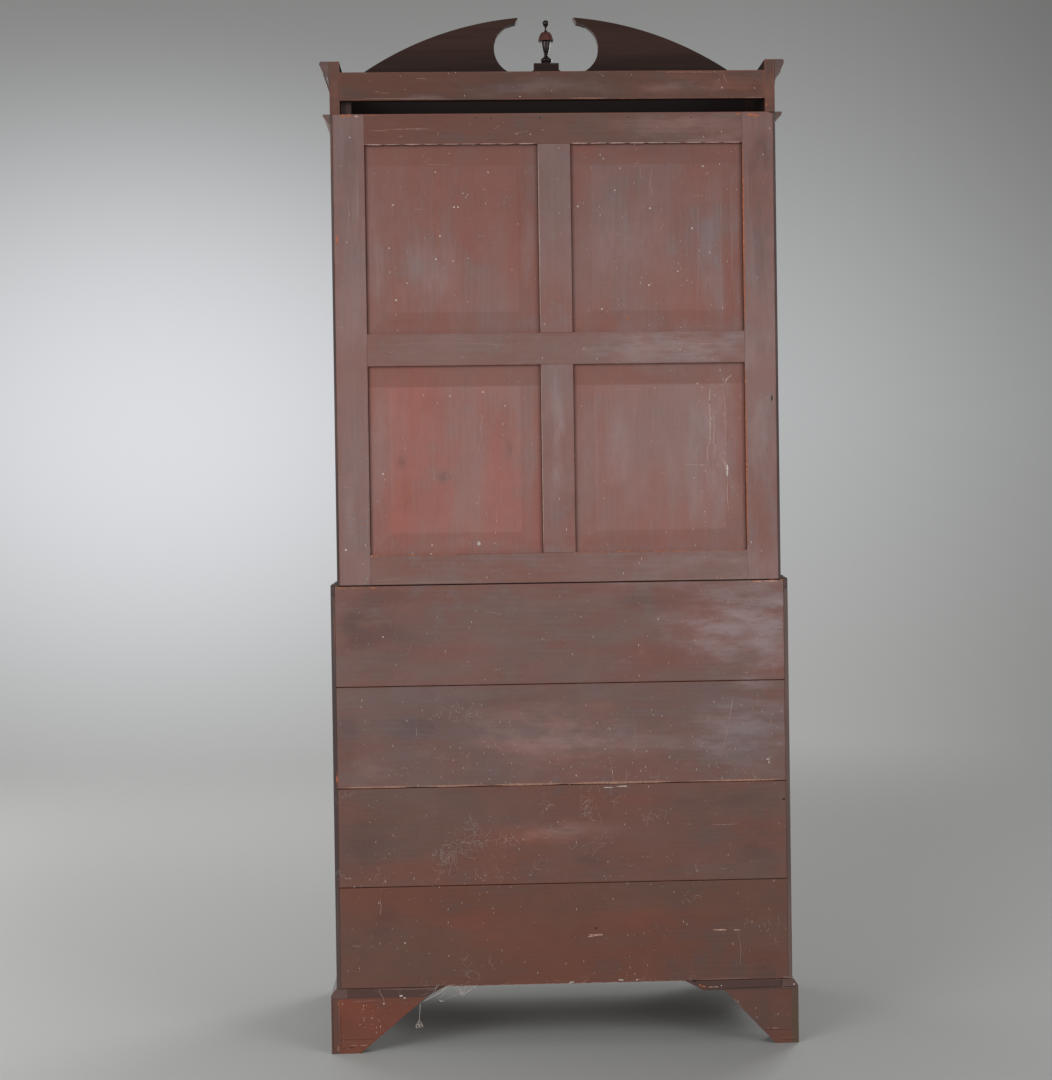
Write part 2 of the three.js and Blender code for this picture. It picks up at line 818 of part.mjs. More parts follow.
// A shelf has a tongue along the lower half of each end, which goes into the side's housing
function shelf(z) {
  const half = bookcaseInner - fit;
  const tongueHalf = bookcaseInner + housingDepth - fit;
  const shape = outline([
    [-tongueHalf, z],
    [tongueHalf, z],
    [tongueHalf, z + shelfTongue],
    [half, z + shelfTongue],
    [half, z + shelfThickness],
    [-half, z + shelfThickness],
    [-half, z + shelfTongue],
    [-tongueHalf, z + shelfTongue],
  ]);
  return facing(shape, carcaseFront + shelfSetback, -backFrameThickness - fit);
}

function addBookcaseCarcase() {
  addPair('bookcase_side', bookcaseSide(), 'polished');
  add('bookcase_bottom', bookcaseEndBoard(bookcaseBottom, bookcaseBottom + bookcaseBoard), 'polished');
  add('bookcase_top', bookcaseEndBoard(bookcaseTop - bookcaseBoard, bookcaseTop), 'polished');
  shelfLevels().forEach((z, number) => add(`shelf_${number + 1}`, shelf(z), 'carcase'));
}

// Back frame: grooved stiles, rails and muntins with stub tenons hold four fielded panels
const grooveRear = -panelGrooveSetback + fit;
const grooveFront = grooveRear - panelTongue - 2 * fit;
const tongueRear = -panelGrooveSetback;
const tongueFront = tongueRear - panelTongue;
const stubReach = panelGrooveDepth - panelPlay;

// The groove runs along the edge at "edge" and goes "depth" towards the member's middle
function verticalGroove(edge, depth, z0, z1) {
  const [x0, x1] = [Math.min(edge, edge + depth), Math.max(edge, edge + depth)];
  return block(x0, x1, grooveFront, grooveRear, z0 - overrun, z1 + overrun);
}

function horizontalGroove(edge, depth, half) {
  const [z0, z1] = [Math.min(edge, edge + depth), Math.max(edge, edge + depth)];
  return block(-half - overrun, half + overrun, grooveFront, grooveRear, z0, z1);
}

function backStile() {
  const stile = block(panelOuterX, backFrameHalf, -backFrameThickness, 0, bookcaseBottom, bookcaseTop);
  const groove = verticalGroove(panelOuterX - bury, panelGrooveDepth + bury, bookcaseBottom, bookcaseTop);
  return cut(stile, groove);
}

function backRail(z0, z1, grooves) {
  const half = panelOuterX - fit;
  const rail = block(-half, half, -backFrameThickness, 0, z0, z1);
  const stubHalf = half + stubReach;
  const [stubBottom, stubTop] = [z0 + panelGrooveDepth, z1 - panelGrooveDepth];
  const stub = block(-stubHalf, stubHalf, tongueFront, tongueRear, stubBottom, stubTop);
  const cutters = grooves.map(([edge, depth]) => horizontalGroove(edge, depth, half));
  return join(cut(rail, ...cutters), stub);
}

function backMuntin(z0, z1) {
  const half = panelInnerX;
  const body = block(-half, half, -backFrameThickness, 0, z0 + fit, z1 - fit);
  const left = verticalGroove(-half - bury, panelGrooveDepth + bury, z0, z1);
  const right = verticalGroove(half + bury, -panelGrooveDepth - bury, z0, z1);
  const stubHalf = half - panelGrooveDepth;
  const stub = block(
    -stubHalf, stubHalf, tongueFront, tongueRear, z0 + fit - stubReach, z1 - fit + stubReach,
  );
  return join(cut(body, left, right), stub);
}

function backPanel() {
  const sightX = (panelOuterX - panelInnerX) / 2;
  const sightZ = panelHeight / 2;
  const tongue = panelGrooveDepth - panelPlay;
  const edge = { halfX: sightX + tongue, halfY: sightZ + tongue };
  const shoulder = { halfX: sightX - panelShoulder, halfY: sightZ - panelShoulder };
  const field = { halfX: shoulder.halfX - panelBevel, halfY: shoulder.halfY - panelBevel };
  return stackedRectangles([
    { ...edge, z: tongueFront },
    { ...edge, z: tongueRear },
    { ...shoulder, z: tongueRear },
    { ...field, z: tongueRear + panelFieldProud },
  ]).rotateX(-Math.PI / 2);
}

function addBookcaseBack() {
  const lowerSill = bookcaseBottom + backBottomRail;
  const lowerHead = lowerSill + panelHeight;
  const upperSill = lowerHead + backMiddleRail;
  const upperHead = upperSill + panelHeight;
  const up = -panelGrooveDepth - bury;
  const down = panelGrooveDepth + bury;
  addPair('back_stile', backStile(), 'backPine');
  add('back_rail_bottom', backRail(bookcaseBottom, lowerSill, [[lowerSill + bury, up]]), 'backPine');
  add('back_rail_middle', backRail(lowerHead, upperSill, [
    [lowerHead - bury, down],
    [upperSill + bury, up],
  ]), 'backPine');
  add('back_rail_top', backRail(upperHead, bookcaseTop, [[upperHead - bury, down]]), 'backPine');
  add('back_muntin_lower', backMuntin(lowerSill, lowerHead), 'backPine');
  add('back_muntin_upper', backMuntin(upperSill, upperHead), 'backPine');
  const centreX = (panelOuterX + panelInnerX) / 2;
  for (const [row, sill] of [['lower', lowerSill], ['upper', upperSill]]) {
    for (const [side, name] of [[1, 'right'], [-1, 'left']]) {
      const group = groupAt(side * centreX, 0, sill + panelHeight / 2);
      add(`back_panel_${row}_${name}`, backPanel(), 'backPine', group);
    }
  }
}

// Glazed doors: each has thirteen panes between astragal bars
// Places in the pattern are shares of the opening, from its centre to its edges
const hexagonShares = [[0, 0.44], [0.6, 0.24], [0.6, -0.24], [0, -0.44], [-0.6, -0.24], [-0.6, 0.24]];
const diamondShares = { sideX: 0.6, sideZ: 0.64, topZ: 0.84 };

function barPattern() {
  const nextCorner = (number) => hexagonShares[(number + 1) % hexagonShares.length];
  const bars = hexagonShares.map((corner, number) => [corner, nextCorner(number)]);
  const { sideX, sideZ, topZ } = diamondShares;
  const hexagonTop = hexagonShares[0][1];
  const [shoulderX, shoulderZ] = hexagonShares[1];
  for (const up of [1, -1]) {
    for (const side of [1, -1]) {
      bars.push([[side * shoulderX, up * shoulderZ], [side, up * shoulderZ]]);
      bars.push([[0, up * hexagonTop], [side * sideX, up * sideZ]]);
      bars.push([[side * sideX, up * sideZ], [0, up * topZ]]);
      bars.push([[side * sideX, up * sideZ], [side, up * sideZ]]);
    }
    bars.push([[0, up * topZ], [0, up]]);
  }
  return bars;
}

// One bar, from a to b in X and Z, with its flat back at y = 0 and a narrow front
function astragalBar(a, b) {
  const along = new THREE.Vector3(b[0] - a[0], 0, b[1] - a[1]);
  const length = along.length() + barWidth;
  along.normalize();
  const across = new THREE.Vector3(along.z, 0, -along.x);
  const depthAxis = new THREE.Vector3().crossVectors(along, across);
  const front = -Math.sign(depthAxis.y) * barDepth;
  const section = outline([
    [-barWidth / 2, 0],
    [barWidth / 2, 0],
    [barWidth / 2, front * barShoulderShare],
    [barFrontWidth / 2, front],
    [-barFrontWidth / 2, front],
    [-barWidth / 2, front * barShoulderShare],
  ]);
  const turn = new THREE.Matrix4().makeBasis(across, depthAxis, along);
  const start = new THREE.Vector3(a[0], 0, a[1]).addScaledVector(along, -barWidth / 2);
  return extruded(section, length).applyMatrix4(turn).translate(start.x, 0, start.z);
}

const doorHingeX = bookcaseHalf + doorHingeOutset;
const doorHingeY = carcaseFront - fit;
const doorFrontY = -bookcaseDepth - doorHingeY;
const doorOuter = bookcaseHalf - doorHingeX;
const doorInner = doorGap / 2 - doorHingeX;
const openingOuter = doorOuter - doorStile;
const openingInner = doorInner + doorStile;
const openingBottom = doorBottom + doorRail;
const openingTop = doorTop - doorRail;

// The right door, placed from its hinge line
function doorFrame() {
  const slab = block(doorInner, doorOuter, doorFrontY, 0, doorBottom, doorTop);
  const opening = block(
    openingInner, openingOuter, doorFrontY - overrun, overrun, openingBottom, openingTop,
  );
  const rebate = block(
    openingInner - glassRebate, openingOuter + glassRebate,
    doorFrontY + barDepth, overrun,
    openingBottom - glassRebate, openingTop + glassRebate,
  );
  const centre = [(openingInner + openingOuter) / 2, (openingBottom + openingTop) / 2];
  const reach = [(openingOuter - openingInner) / 2, (openingTop - openingBottom) / 2];
  const place = ([x, z]) => [centre[0] + x * reach[0], centre[1] + z * reach[1]];
  const bars = barPattern().map(([a, b]) => (
    astragalBar(place(a), place(b)).translate(0, doorFrontY + barDepth, 0)
  ));
  return join(cut(slab, opening, rebate), ...bars);
}

function meetingBead() {
  const front = doorFrontY - meetingBeadReach;
  return block(doorInner, doorInner + meetingBeadWidth, front, doorFrontY + bury, doorBottom, doorTop);
}

function doorGlass() {
  const edge = glassRebate - fit;
  const front = doorFrontY + barDepth + fit;
  return block(
    openingInner - edge, openingOuter + edge,
    front, front + glassThickness,
    openingBottom - edge, openingTop + edge,
  );
}

function addDoors() {
  const frame = doorFrame();
  const right = groupAt(doorHingeX, doorHingeY, 0);
  add('door_frame_right', join(frame, meetingBead()), 'polished', right);
  add('door_glass_right', doorGlass(), 'glass', right);
  const left = groupAt(-doorHingeX, doorHingeY, 0);
  add('door_frame_left', mirrored(frame), 'polished', left);
  add('door_glass_left', mirrored(doorGlass()), 'glass', left);
}

// Mouldings that go round three sides, as shares of reach and height
const waistShares = [[0, 0], [1, 0], [1, 0.22], [0.45, 0.7], [0.3, 1], [0, 1]];
const neckShares = [
  [0, 0], [0.2, 0.1], [0.5, 0.3], [0.78, 0.52], [0.95, 0.74], [1, 0.84], [1, 1], [0, 1],
];
const corniceShares = [
  [0, 0], [0.05, 0.16], [0.14, 0.32], [0.28, 0.43], [0.44, 0.48],
  [0.6, 0.49], [0.62, 0.56], [1, 0.88], [0.97, 0.95], [0.86, 1], [0, 1],
];

function mouldingOn(shares, reach, height, halfWidth, front, bottomZ) {
  const profile = scaledProfile(shares, reach - fit, height).map(([a, b]) => [a + fit, b]);
  return threeSidedMoulding(profile, halfWidth, front, bottomZ);
}

function addCaseMouldings() {
  add('waist_moulding', mouldingOn(
    waistShares, bookcaseInset, waistMouldingHeight, bookcaseHalf, -bookcaseDepth, bureauTop + fit,
  ), 'polished');
  add('neck_moulding', mouldingOn(
    neckShares, neckMouldingReach, neckMouldingHeight,
    bookcaseHalf, -bookcaseDepth, bookcaseTop - neckMouldingHeight,
  ), 'polished');
  add('cornice_moulding', mouldingOn(
    corniceShares, corniceMouldingReach, corniceMouldingHeight,
    bookcaseHalf, -bookcaseDepth, corniceTop - corniceMouldingHeight,
  ), 'polished');
}

// Pediment: a board with an arched top, broken by two round eyes that leave a plinth between them
function archHeight(radius, x) {
  return archCentreZ + Math.sqrt(radius * radius - x * x);
}

function pedimentOutline() {
  const radius = archRadius - archBoardSink;
  const shape = new THREE.Shape();
  const startAngle = Math.acos(bookcaseHalf / radius);
  const tipX = hornTipX + archBoardSink * hornTipSlant / hornTipDepth;
  const tipAngle = Math.acos(tipX / radius);
  const lowTip = { x: hornTipX + hornTipSlant, z: archHeight(archRadius, hornTipX) - hornTipDepth };
  const eyeStart = Math.atan2(lowTip.z - eyeCentreZ, lowTip.x - eyeRadius);
  const halfPlinth = plinthWidth / 2;
  const bridgeZ = eyeCentreZ - eyeRadius;
  shape.moveTo(bookcaseHalf, corniceBottom);
  shape.lineTo(bookcaseHalf, archHeight(radius, bookcaseHalf));
  shape.absarc(0, archCentreZ, radius, startAngle, tipAngle, false);
  shape.absarc(eyeRadius, eyeCentreZ, eyeRadius, eyeStart, -Math.PI / 2, true);
  shape.lineTo(halfPlinth - plinthNeckInset + plinthFlareReach, bridgeZ);
  shape.lineTo(halfPlinth - plinthNeckInset, bridgeZ + plinthFlareHeight);
  shape.lineTo(halfPlinth - plinthNeckInset, plinthTop - plinthBlockHeight);
  shape.lineTo(halfPlinth, plinthTop - plinthBlockHeight);
  shape.lineTo(halfPlinth, plinthTop);
  const points = shape.getPoints(arcSteps);
  const mirrorPoints = points.map((point) => new THREE.Vector2(-point.x, point.y)).reverse();
  return new THREE.Shape([...points, ...mirrorPoints]);
}

// The edge moulding of one half of the arch, stepped in two fillets
function archMoulding() {
  const halves = [
    [archMouldingHeight, archMouldingReach],
    [archMouldingHeight + archMouldingStep, archMouldingReach - archMouldingStep],
  ].map(([height, reach]) => {
    const inner = archRadius - height;
    const foot = corniceTop + fit - archCentreZ;
    const tipAngle = Math.acos(hornTipX / archRadius);
    const shape = new THREE.Shape();
    shape.absarc(0, archCentreZ, archRadius, Math.asin(foot / archRadius), tipAngle, false);
    const innerTipX = hornTipX + hornTipSlant * height / hornTipDepth;
    shape.absarc(0, archCentreZ, inner, Math.acos(innerTipX / inner), Math.asin(foot / inner), true);
    const section = new THREE.Shape(shape.getPoints(arcSteps));
    return facing(section, -bookcaseDepth - reach, -bookcaseDepth + bury);
  });
  const eye = facing(
    new THREE.Shape().absarc(eyeRadius, eyeCentreZ, eyeRadius, 0, 2 * Math.PI, false),
    -bookcaseDepth - archMouldingReach - overrun, -bookcaseDepth + overrun, arcSteps,
  );
  return cut(join(...halves), eye);
}

function pedimentBoard() {
  const board = facing(pedimentOutline(), -bookcaseDepth, -bookcaseDepth + corniceBoard);
  const rake = archMoulding();
  const socket = turned([
    [0, plinthTop - dowelLength - fit],
    [dowelRadius + fit, plinthTop - dowelLength - fit],
    [dowelRadius + fit, plinthTop + overrun],
    [0, plinthTop + overrun],
  ], knobSides).translate(0, -bookcaseDepth + corniceBoard / 2, 0);
  return cut(join(board, rake, mirrored(rake)), socket);
}

function finialSolid() {
  const shares = Object.values(finialShares).flat();
  const stem = scaledProfile(shares, finialRadius, finialHeight);
  const neckRadius = stem[stem.length - 1][0];
  const startAngle = -Math.acos(neckRadius / ballRadius);
  const ballCentre = finialHeight - ballRadius;
  const ball = [];
  for (let step = 0; step < curveSteps; step += 1) {
    const angle = startAngle + (Math.PI / 2 - startAngle) * step / curveSteps;
    ball.push([ballRadius * Math.cos(angle), ballCentre + ballRadius * Math.sin(angle)]);
  }
  ball.push([0, finialHeight]);
  const dowel = [[0, -dowelLength], [dowelRadius, -dowelLength], [dowelRadius, 0]];
  return turned([...dowel, ...stem, ...ball], finialSides);
}

function addCornice() {
  add('pediment_board', pedimentBoard(), 'polished');
  addPair('cornice_side', block(
    corniceInner, bookcaseHalf, -bookcaseDepth + corniceBoard + fit, 0, corniceBottom, corniceTop,
  ), 'carcase');
  const railHalf = corniceInner - fit;
  const railBottom = corniceBottom + rearRailSlot;
  add('cornice_rear_rail', block(
    -railHalf, railHalf, -rearRailThickness, 0, railBottom, railBottom + rearRailHeight,
  ), 'carcase');
  const stand = groupAt(0, -bookcaseDepth + corniceBoard / 2, plinthTop + fit);
  add('finial', finialSolid(), 'darkTurned', stand);
}

addBureau();
addDrawers();
addLopers();
addFall();
add('interior_fitment', interiorFitment(), 'interior');
addSmallDrawers();
addCupboardDoor();
addBookcaseCarcase();
addBookcaseBack();
addDoors();
addCaseMouldings();
addCornice();

export default model;
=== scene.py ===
import json
import math
import random

import bmesh
import bpy
from mathutils import Matrix, Vector
from mathutils.bvhtree import BVHTree


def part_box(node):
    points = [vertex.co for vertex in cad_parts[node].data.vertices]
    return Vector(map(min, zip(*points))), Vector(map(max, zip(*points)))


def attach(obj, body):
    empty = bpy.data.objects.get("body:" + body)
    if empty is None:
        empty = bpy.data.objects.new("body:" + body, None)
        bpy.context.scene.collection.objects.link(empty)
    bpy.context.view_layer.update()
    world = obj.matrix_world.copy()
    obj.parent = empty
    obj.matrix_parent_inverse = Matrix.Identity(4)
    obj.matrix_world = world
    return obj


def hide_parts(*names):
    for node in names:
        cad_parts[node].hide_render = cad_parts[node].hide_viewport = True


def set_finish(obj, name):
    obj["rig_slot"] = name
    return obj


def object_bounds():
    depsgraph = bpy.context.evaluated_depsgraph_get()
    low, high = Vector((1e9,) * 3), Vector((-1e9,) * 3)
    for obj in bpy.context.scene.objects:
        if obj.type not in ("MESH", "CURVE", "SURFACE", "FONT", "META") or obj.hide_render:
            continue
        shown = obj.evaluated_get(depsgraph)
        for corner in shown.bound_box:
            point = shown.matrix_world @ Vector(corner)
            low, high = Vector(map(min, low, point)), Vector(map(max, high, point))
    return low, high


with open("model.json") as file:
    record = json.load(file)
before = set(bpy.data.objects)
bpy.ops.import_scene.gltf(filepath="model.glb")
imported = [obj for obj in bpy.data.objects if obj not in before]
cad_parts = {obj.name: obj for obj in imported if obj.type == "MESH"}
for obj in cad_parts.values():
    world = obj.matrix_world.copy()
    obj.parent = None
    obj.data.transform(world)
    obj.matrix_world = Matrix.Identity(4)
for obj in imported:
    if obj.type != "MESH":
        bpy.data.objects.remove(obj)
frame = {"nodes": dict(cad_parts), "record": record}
CAD_LOW, CAD_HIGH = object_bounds()
NODES = frame["nodes"]
MM = 0.001


# Camera, solved from the photograph's corners and seams. Pixels are those of the 1052 x 1080 image.
IMAGE_WIDTH, IMAGE_HEIGHT = 1052, 1080
SENSOR, CLIP_END = 36, 100
FOCAL_PIXELS = 1961.04
PRINCIPAL_U, PRINCIPAL_V = 545, 525
CAMERA_PLACE = Vector((0.19864, 4.64627, 1.23202))
CAMERA_YAW, CAMERA_PITCH, CAMERA_ROLL = 0.038461, -0.014977, -0.014254


def turned(first, second, angle):
    """Two directions, turned in the plane that they span."""
    cos, sin = math.cos(angle), math.sin(angle)
    return first * cos + second * sin, second * cos - first * sin


def camera_axes():
    """The camera's right, up and forward directions. With no turn it looks along -Y."""
    right, up, forward = Vector((-1, 0, 0)), Vector((0, 0, 1)), Vector((0, -1, 0))
    forward, right = turned(forward, right, CAMERA_YAW)
    forward, up = turned(forward, up, CAMERA_PITCH)
    right, up = turned(right, up, CAMERA_ROLL)
    return right, up, forward


VIEW_RIGHT, VIEW_UP, VIEW_FORWARD = camera_axes()


def add_camera():
    data = bpy.data.cameras.new("photo_camera")
    data.sensor_width = SENSOR
    data.lens = FOCAL_PIXELS * SENSOR / IMAGE_HEIGHT
    data.shift_x = (IMAGE_WIDTH / 2 - PRINCIPAL_U) / IMAGE_HEIGHT
    data.shift_y = (PRINCIPAL_V - IMAGE_HEIGHT / 2) / IMAGE_HEIGHT
    data.clip_end = CLIP_END
    camera = bpy.data.objects.new("photo_camera", data)
    turn = Matrix((VIEW_RIGHT, VIEW_UP, -VIEW_FORWARD)).transposed()
    camera.matrix_world = Matrix.Translation(CAMERA_PLACE) @ turn.to_4x4()
    bpy.context.scene.collection.objects.link(camera)
    bpy.context.scene.camera = camera


def ray_through(pixel):
    """The direction in which the camera sees a pixel of the photograph."""
    across = (pixel[0] - PRINCIPAL_U) / FOCAL_PIXELS
    down = (pixel[1] - PRINCIPAL_V) / FOCAL_PIXELS
    return VIEW_FORWARD + across * VIEW_RIGHT - down * VIEW_UP


def cad_surface():
    """One search tree over the carcase's solids, to lay marks on them."""
    vertices, faces = [], []
    for name in frame["record"]["behaviour"]["bodies"]["carcase"]:
        mesh = NODES[name].data
        start = len(vertices)
        vertices.extend(vertex.co.copy() for vertex in mesh.vertices)
        faces.extend([start + corner for corner in face.vertices] for face in mesh.polygons)
    return BVHTree.FromPolygons(vertices, faces)


SURFACE = cad_surface()
BACK_Y = CAD_HIGH.y
BACK_NORMAL = Vector((0, 1, 0))
DEEPEST_MARK = 12 * MM
RAY_START = 0.2


def on_back_plane(pixel):
    ray = ray_through(pixel)
    return CAMERA_PLACE + ray * ((BACK_Y - CAMERA_PLACE.y) / ray.y)


def on_back(pixel):
    """The point of the back's surface that the photograph shows at a pixel, or None over an opening."""
    start = on_back_plane(pixel) + RAY_START * BACK_NORMAL
    hit = SURFACE.ray_cast(start, -BACK_NORMAL)[0]
    if hit is None or BACK_Y - hit.y > DEEPEST_MARK:
        return None
    return hit


# Colours are written as they look on a screen, and shaders take them as linear light.
def linear(colour):
    channels = [int(colour[start:start + 2], 16) / 255 for start in (1, 3, 5)]
    return [
        value / 12.92 if value <= 0.04045 else ((value + 0.055) / 1.055) ** 2.4
        for value in channels
    ] + [1.0]


# Stage and light
FLOOR_COLOUR, FLOOR_SHADED = "#aeafad", "#757674"
FLOOR_SHADE_X = (1.3, -2.2)
SKY_LOW, SKY_MIDDLE, SKY_HIGH = "#a8a9a7", "#b4b5b6", "#7e7f7d"
SKY_SHADED, SKY_SHADED_HIGH = "#787977", "#5c5d5b"
SKY_SHADE_X, SKY_SHADE_SHARE = (-0.12, -0.36), 0.75
SKY_STEP_LOW, SKY_STEP_HIGH, SKY_STEP_SHADED = (-0.12, 0.05), (0.03, 0.3), (0.02, 0.24)
GLOW_COLOUR = "#dcdde1"
GLOW_DIRECTION, GLOW_REACH = (0.155, -0.985, 0.035), (0.26, 0.9, 0.21)
FLOOR_RADIUS, FLOOR_SIDES = 5.6, 128
FLOOR_EDGE_SHARES = (0.02, 0.55)
FLOOR_ROUGHNESS, FLOOR_SPECULAR = 0.6, 0.25
WORLD_LIGHT = 0.50
# Place and power
LAMPS = {
    "back_left": ((3.4, 4.4, 3.0), 150), "back_right": ((-3.6, 4.2, 2.4), 95),
    "front_left": ((-3.4, -4.4, 3.2), 150), "front_right": ((3.6, -4.0, 2.2), 80),
}
LAMP_SIZE = 2.6
LAMP_TARGET = Vector((0, 0, 1.15))


class Graph:
    """Builds one tree of nodes with short calls."""

    def __init__(self, tree):
        self.tree = tree

    def feed(self, socket, value):
        """Links a socket to another, or sets it. A colour in writing becomes linear light."""
        if isinstance(value, bpy.types.NodeSocket):
            self.tree.links.new(value, socket)
        else:
            socket.default_value = linear(value) if isinstance(value, str) else value

    def node(self, kind, *inputs, **settings):
        """A node with its settings and inputs. A name has _ where the input's has a space."""
        made = self.tree.nodes.new("ShaderNode" + kind)
        for name, value in settings.items():
            if hasattr(made, name):
                setattr(made, name, value)
            else:
                self.feed(made.inputs[name.replace("_", " ")], value)
        for socket, value in zip(made.inputs, inputs):
            if value is not None:
                self.feed(socket, value)
        return made

    def place(self):
        """Object coordinates, which are those of the model's frame."""
        return self.node("TexCoord").outputs["Object"]

    def axes(self, vector=None):
        """The X, Y and Z of a vector, or else of the place."""
        return self.node("SeparateXYZ", self.place() if vector is None else vector).outputs

    def facing(self):
        """1 where a face looks back, and -1 where it looks to the front."""
        return self.axes(self.node("TexCoord").outputs["Normal"])[1]

    def maths(self, operation, first, second=0.0, clamp=False):
        made = self.node("Math", first, second, operation=operation)
        made.use_clamp = clamp
        return made.outputs[0]

    def times(self, first, second):
        return self.maths("MULTIPLY", first, second)

    def noise(self, vector, scale=1.0, detail=2.0, roughness=0.55, distortion=0.0):
        return self.node(
            "TexNoise", Vector=vector, Scale=scale, Detail=detail, Roughness=roughness, Distortion=distortion,
        ).outputs["Fac"]

    def stretch(self, vector, scale, offset):
        return self.node("Mapping", vector, offset, None, scale).outputs[0]

    def remap(self, value, low, high, to_low=0.0, to_high=1.0):
        """A smooth step from to_low to to_high as the value goes from low to high."""
        made = self.node("MapRange", value, low, high, to_low, to_high, interpolation_type="SMOOTHSTEP")
        return made.outputs[0]

    def mix(self, share, first, second, blend="MIX"):
        made = self.tree.nodes.new("ShaderNodeMix")
        made.data_type = "RGBA"
        made.blend_type = blend
        made.clamp_factor = True
        for socket, value in ((made.inputs[0], share), (made.inputs[6], first), (made.inputs[7], second)):
            self.feed(socket, value)
        return made.outputs[2]

    def shaded(self, colour, shade):
        """A colour times a grey."""
        grey = self.node("CombineColor", shade, shade, shade).outputs[0]
        return self.mix(1.0, colour, grey, "MULTIPLY")

    def spot(self, vector, centre, radii):
        """1 at the centre of a stain and 0 at its rim."""
        scale = [1 / radius for radius in radii]
        offset = [-place / radius for place, radius in zip(centre, radii)]
        made = self.node("TexGradient", self.stretch(vector, scale, offset), gradient_type="SPHERICAL")
        return made.outputs["Fac"]


def add_world():
    world = bpy.data.worlds.new("studio")
    bpy.context.scene.world = world
    world.use_nodes = True
    world.node_tree.nodes.clear()
    graph = Graph(world.node_tree)
    direction = graph.node("TexCoord").outputs["Generated"]
    across, _, height = graph.axes(direction)
    lower = graph.mix(graph.remap(height, *SKY_STEP_LOW), SKY_LOW, SKY_MIDDLE)
    upper = graph.mix(graph.remap(height, *SKY_STEP_HIGH), lower, SKY_HIGH)
    glow = graph.spot(direction, GLOW_DIRECTION, GLOW_REACH)
    shown = graph.mix(graph.remap(glow, 0.0, 1.0), upper, GLOW_COLOUR)
    shaded = graph.mix(graph.remap(height, *SKY_STEP_SHADED), SKY_SHADED, SKY_SHADED_HIGH)
    shown = graph.mix(graph.remap(across, *SKY_SHADE_X, 0.0, SKY_SHADE_SHARE), shown, shaded)
    paths = graph.node("LightPath").outputs
    seen = graph.maths("ADD", paths["Is Camera Ray"], paths["Is Glossy Ray"], clamp=True)
    seen = graph.maths("ADD", seen, paths["Is Transmission Ray"], clamp=True)
    light = graph.node("Background", Color=(1, 1, 1, 1), Strength=WORLD_LIGHT)
    view = graph.node("Background", shown, 1.0)
    both = graph.node("MixShader", seen, light.outputs[0], view.outputs[0])
    graph.node("OutputWorld", both.outputs[0])


def add_floor():
    bpy.ops.mesh.primitive_circle_add(vertices=FLOOR_SIDES, radius=FLOOR_RADIUS, fill_type="NGON")
    floor = bpy.context.object
    floor.name = "floor"
    material = bpy.data.materials.new("floor")
    material.use_nodes = True
    material.node_tree.nodes.clear()
    graph = Graph(material.node_tree)
    place = graph.place()
    solid = graph.remap(graph.spot(place, (0, 0, 0), (FLOOR_RADIUS,) * 3), *FLOOR_EDGE_SHARES)
    shaded = graph.remap(graph.axes(place)[0], *FLOOR_SHADE_X)
    paint = graph.node(
        "BsdfPrincipled", Base_Color=graph.mix(shaded, FLOOR_COLOUR, FLOOR_SHADED), Roughness=FLOOR_ROUGHNESS,
        Specular_IOR_Level=FLOOR_SPECULAR,
    )
    clear = graph.node("BsdfTransparent")
    both = graph.node("MixShader", solid, clear.outputs[0], paint.outputs[0])
    graph.node("OutputMaterial", both.outputs[0])
    floor.data.materials.append(material)


def add_lamps():
    for name, (place, power) in LAMPS.items():
        data = bpy.data.lights.new(name, "AREA")
        data.size, data.energy = LAMP_SIZE, power
        light = bpy.data.objects.new(name, data)
        light.location = place
        light.rotation_euler = (LAMP_TARGET - light.location).to_track_quat("-Z", "Y").to_euler()
        bpy.context.scene.collection.objects.link(light)


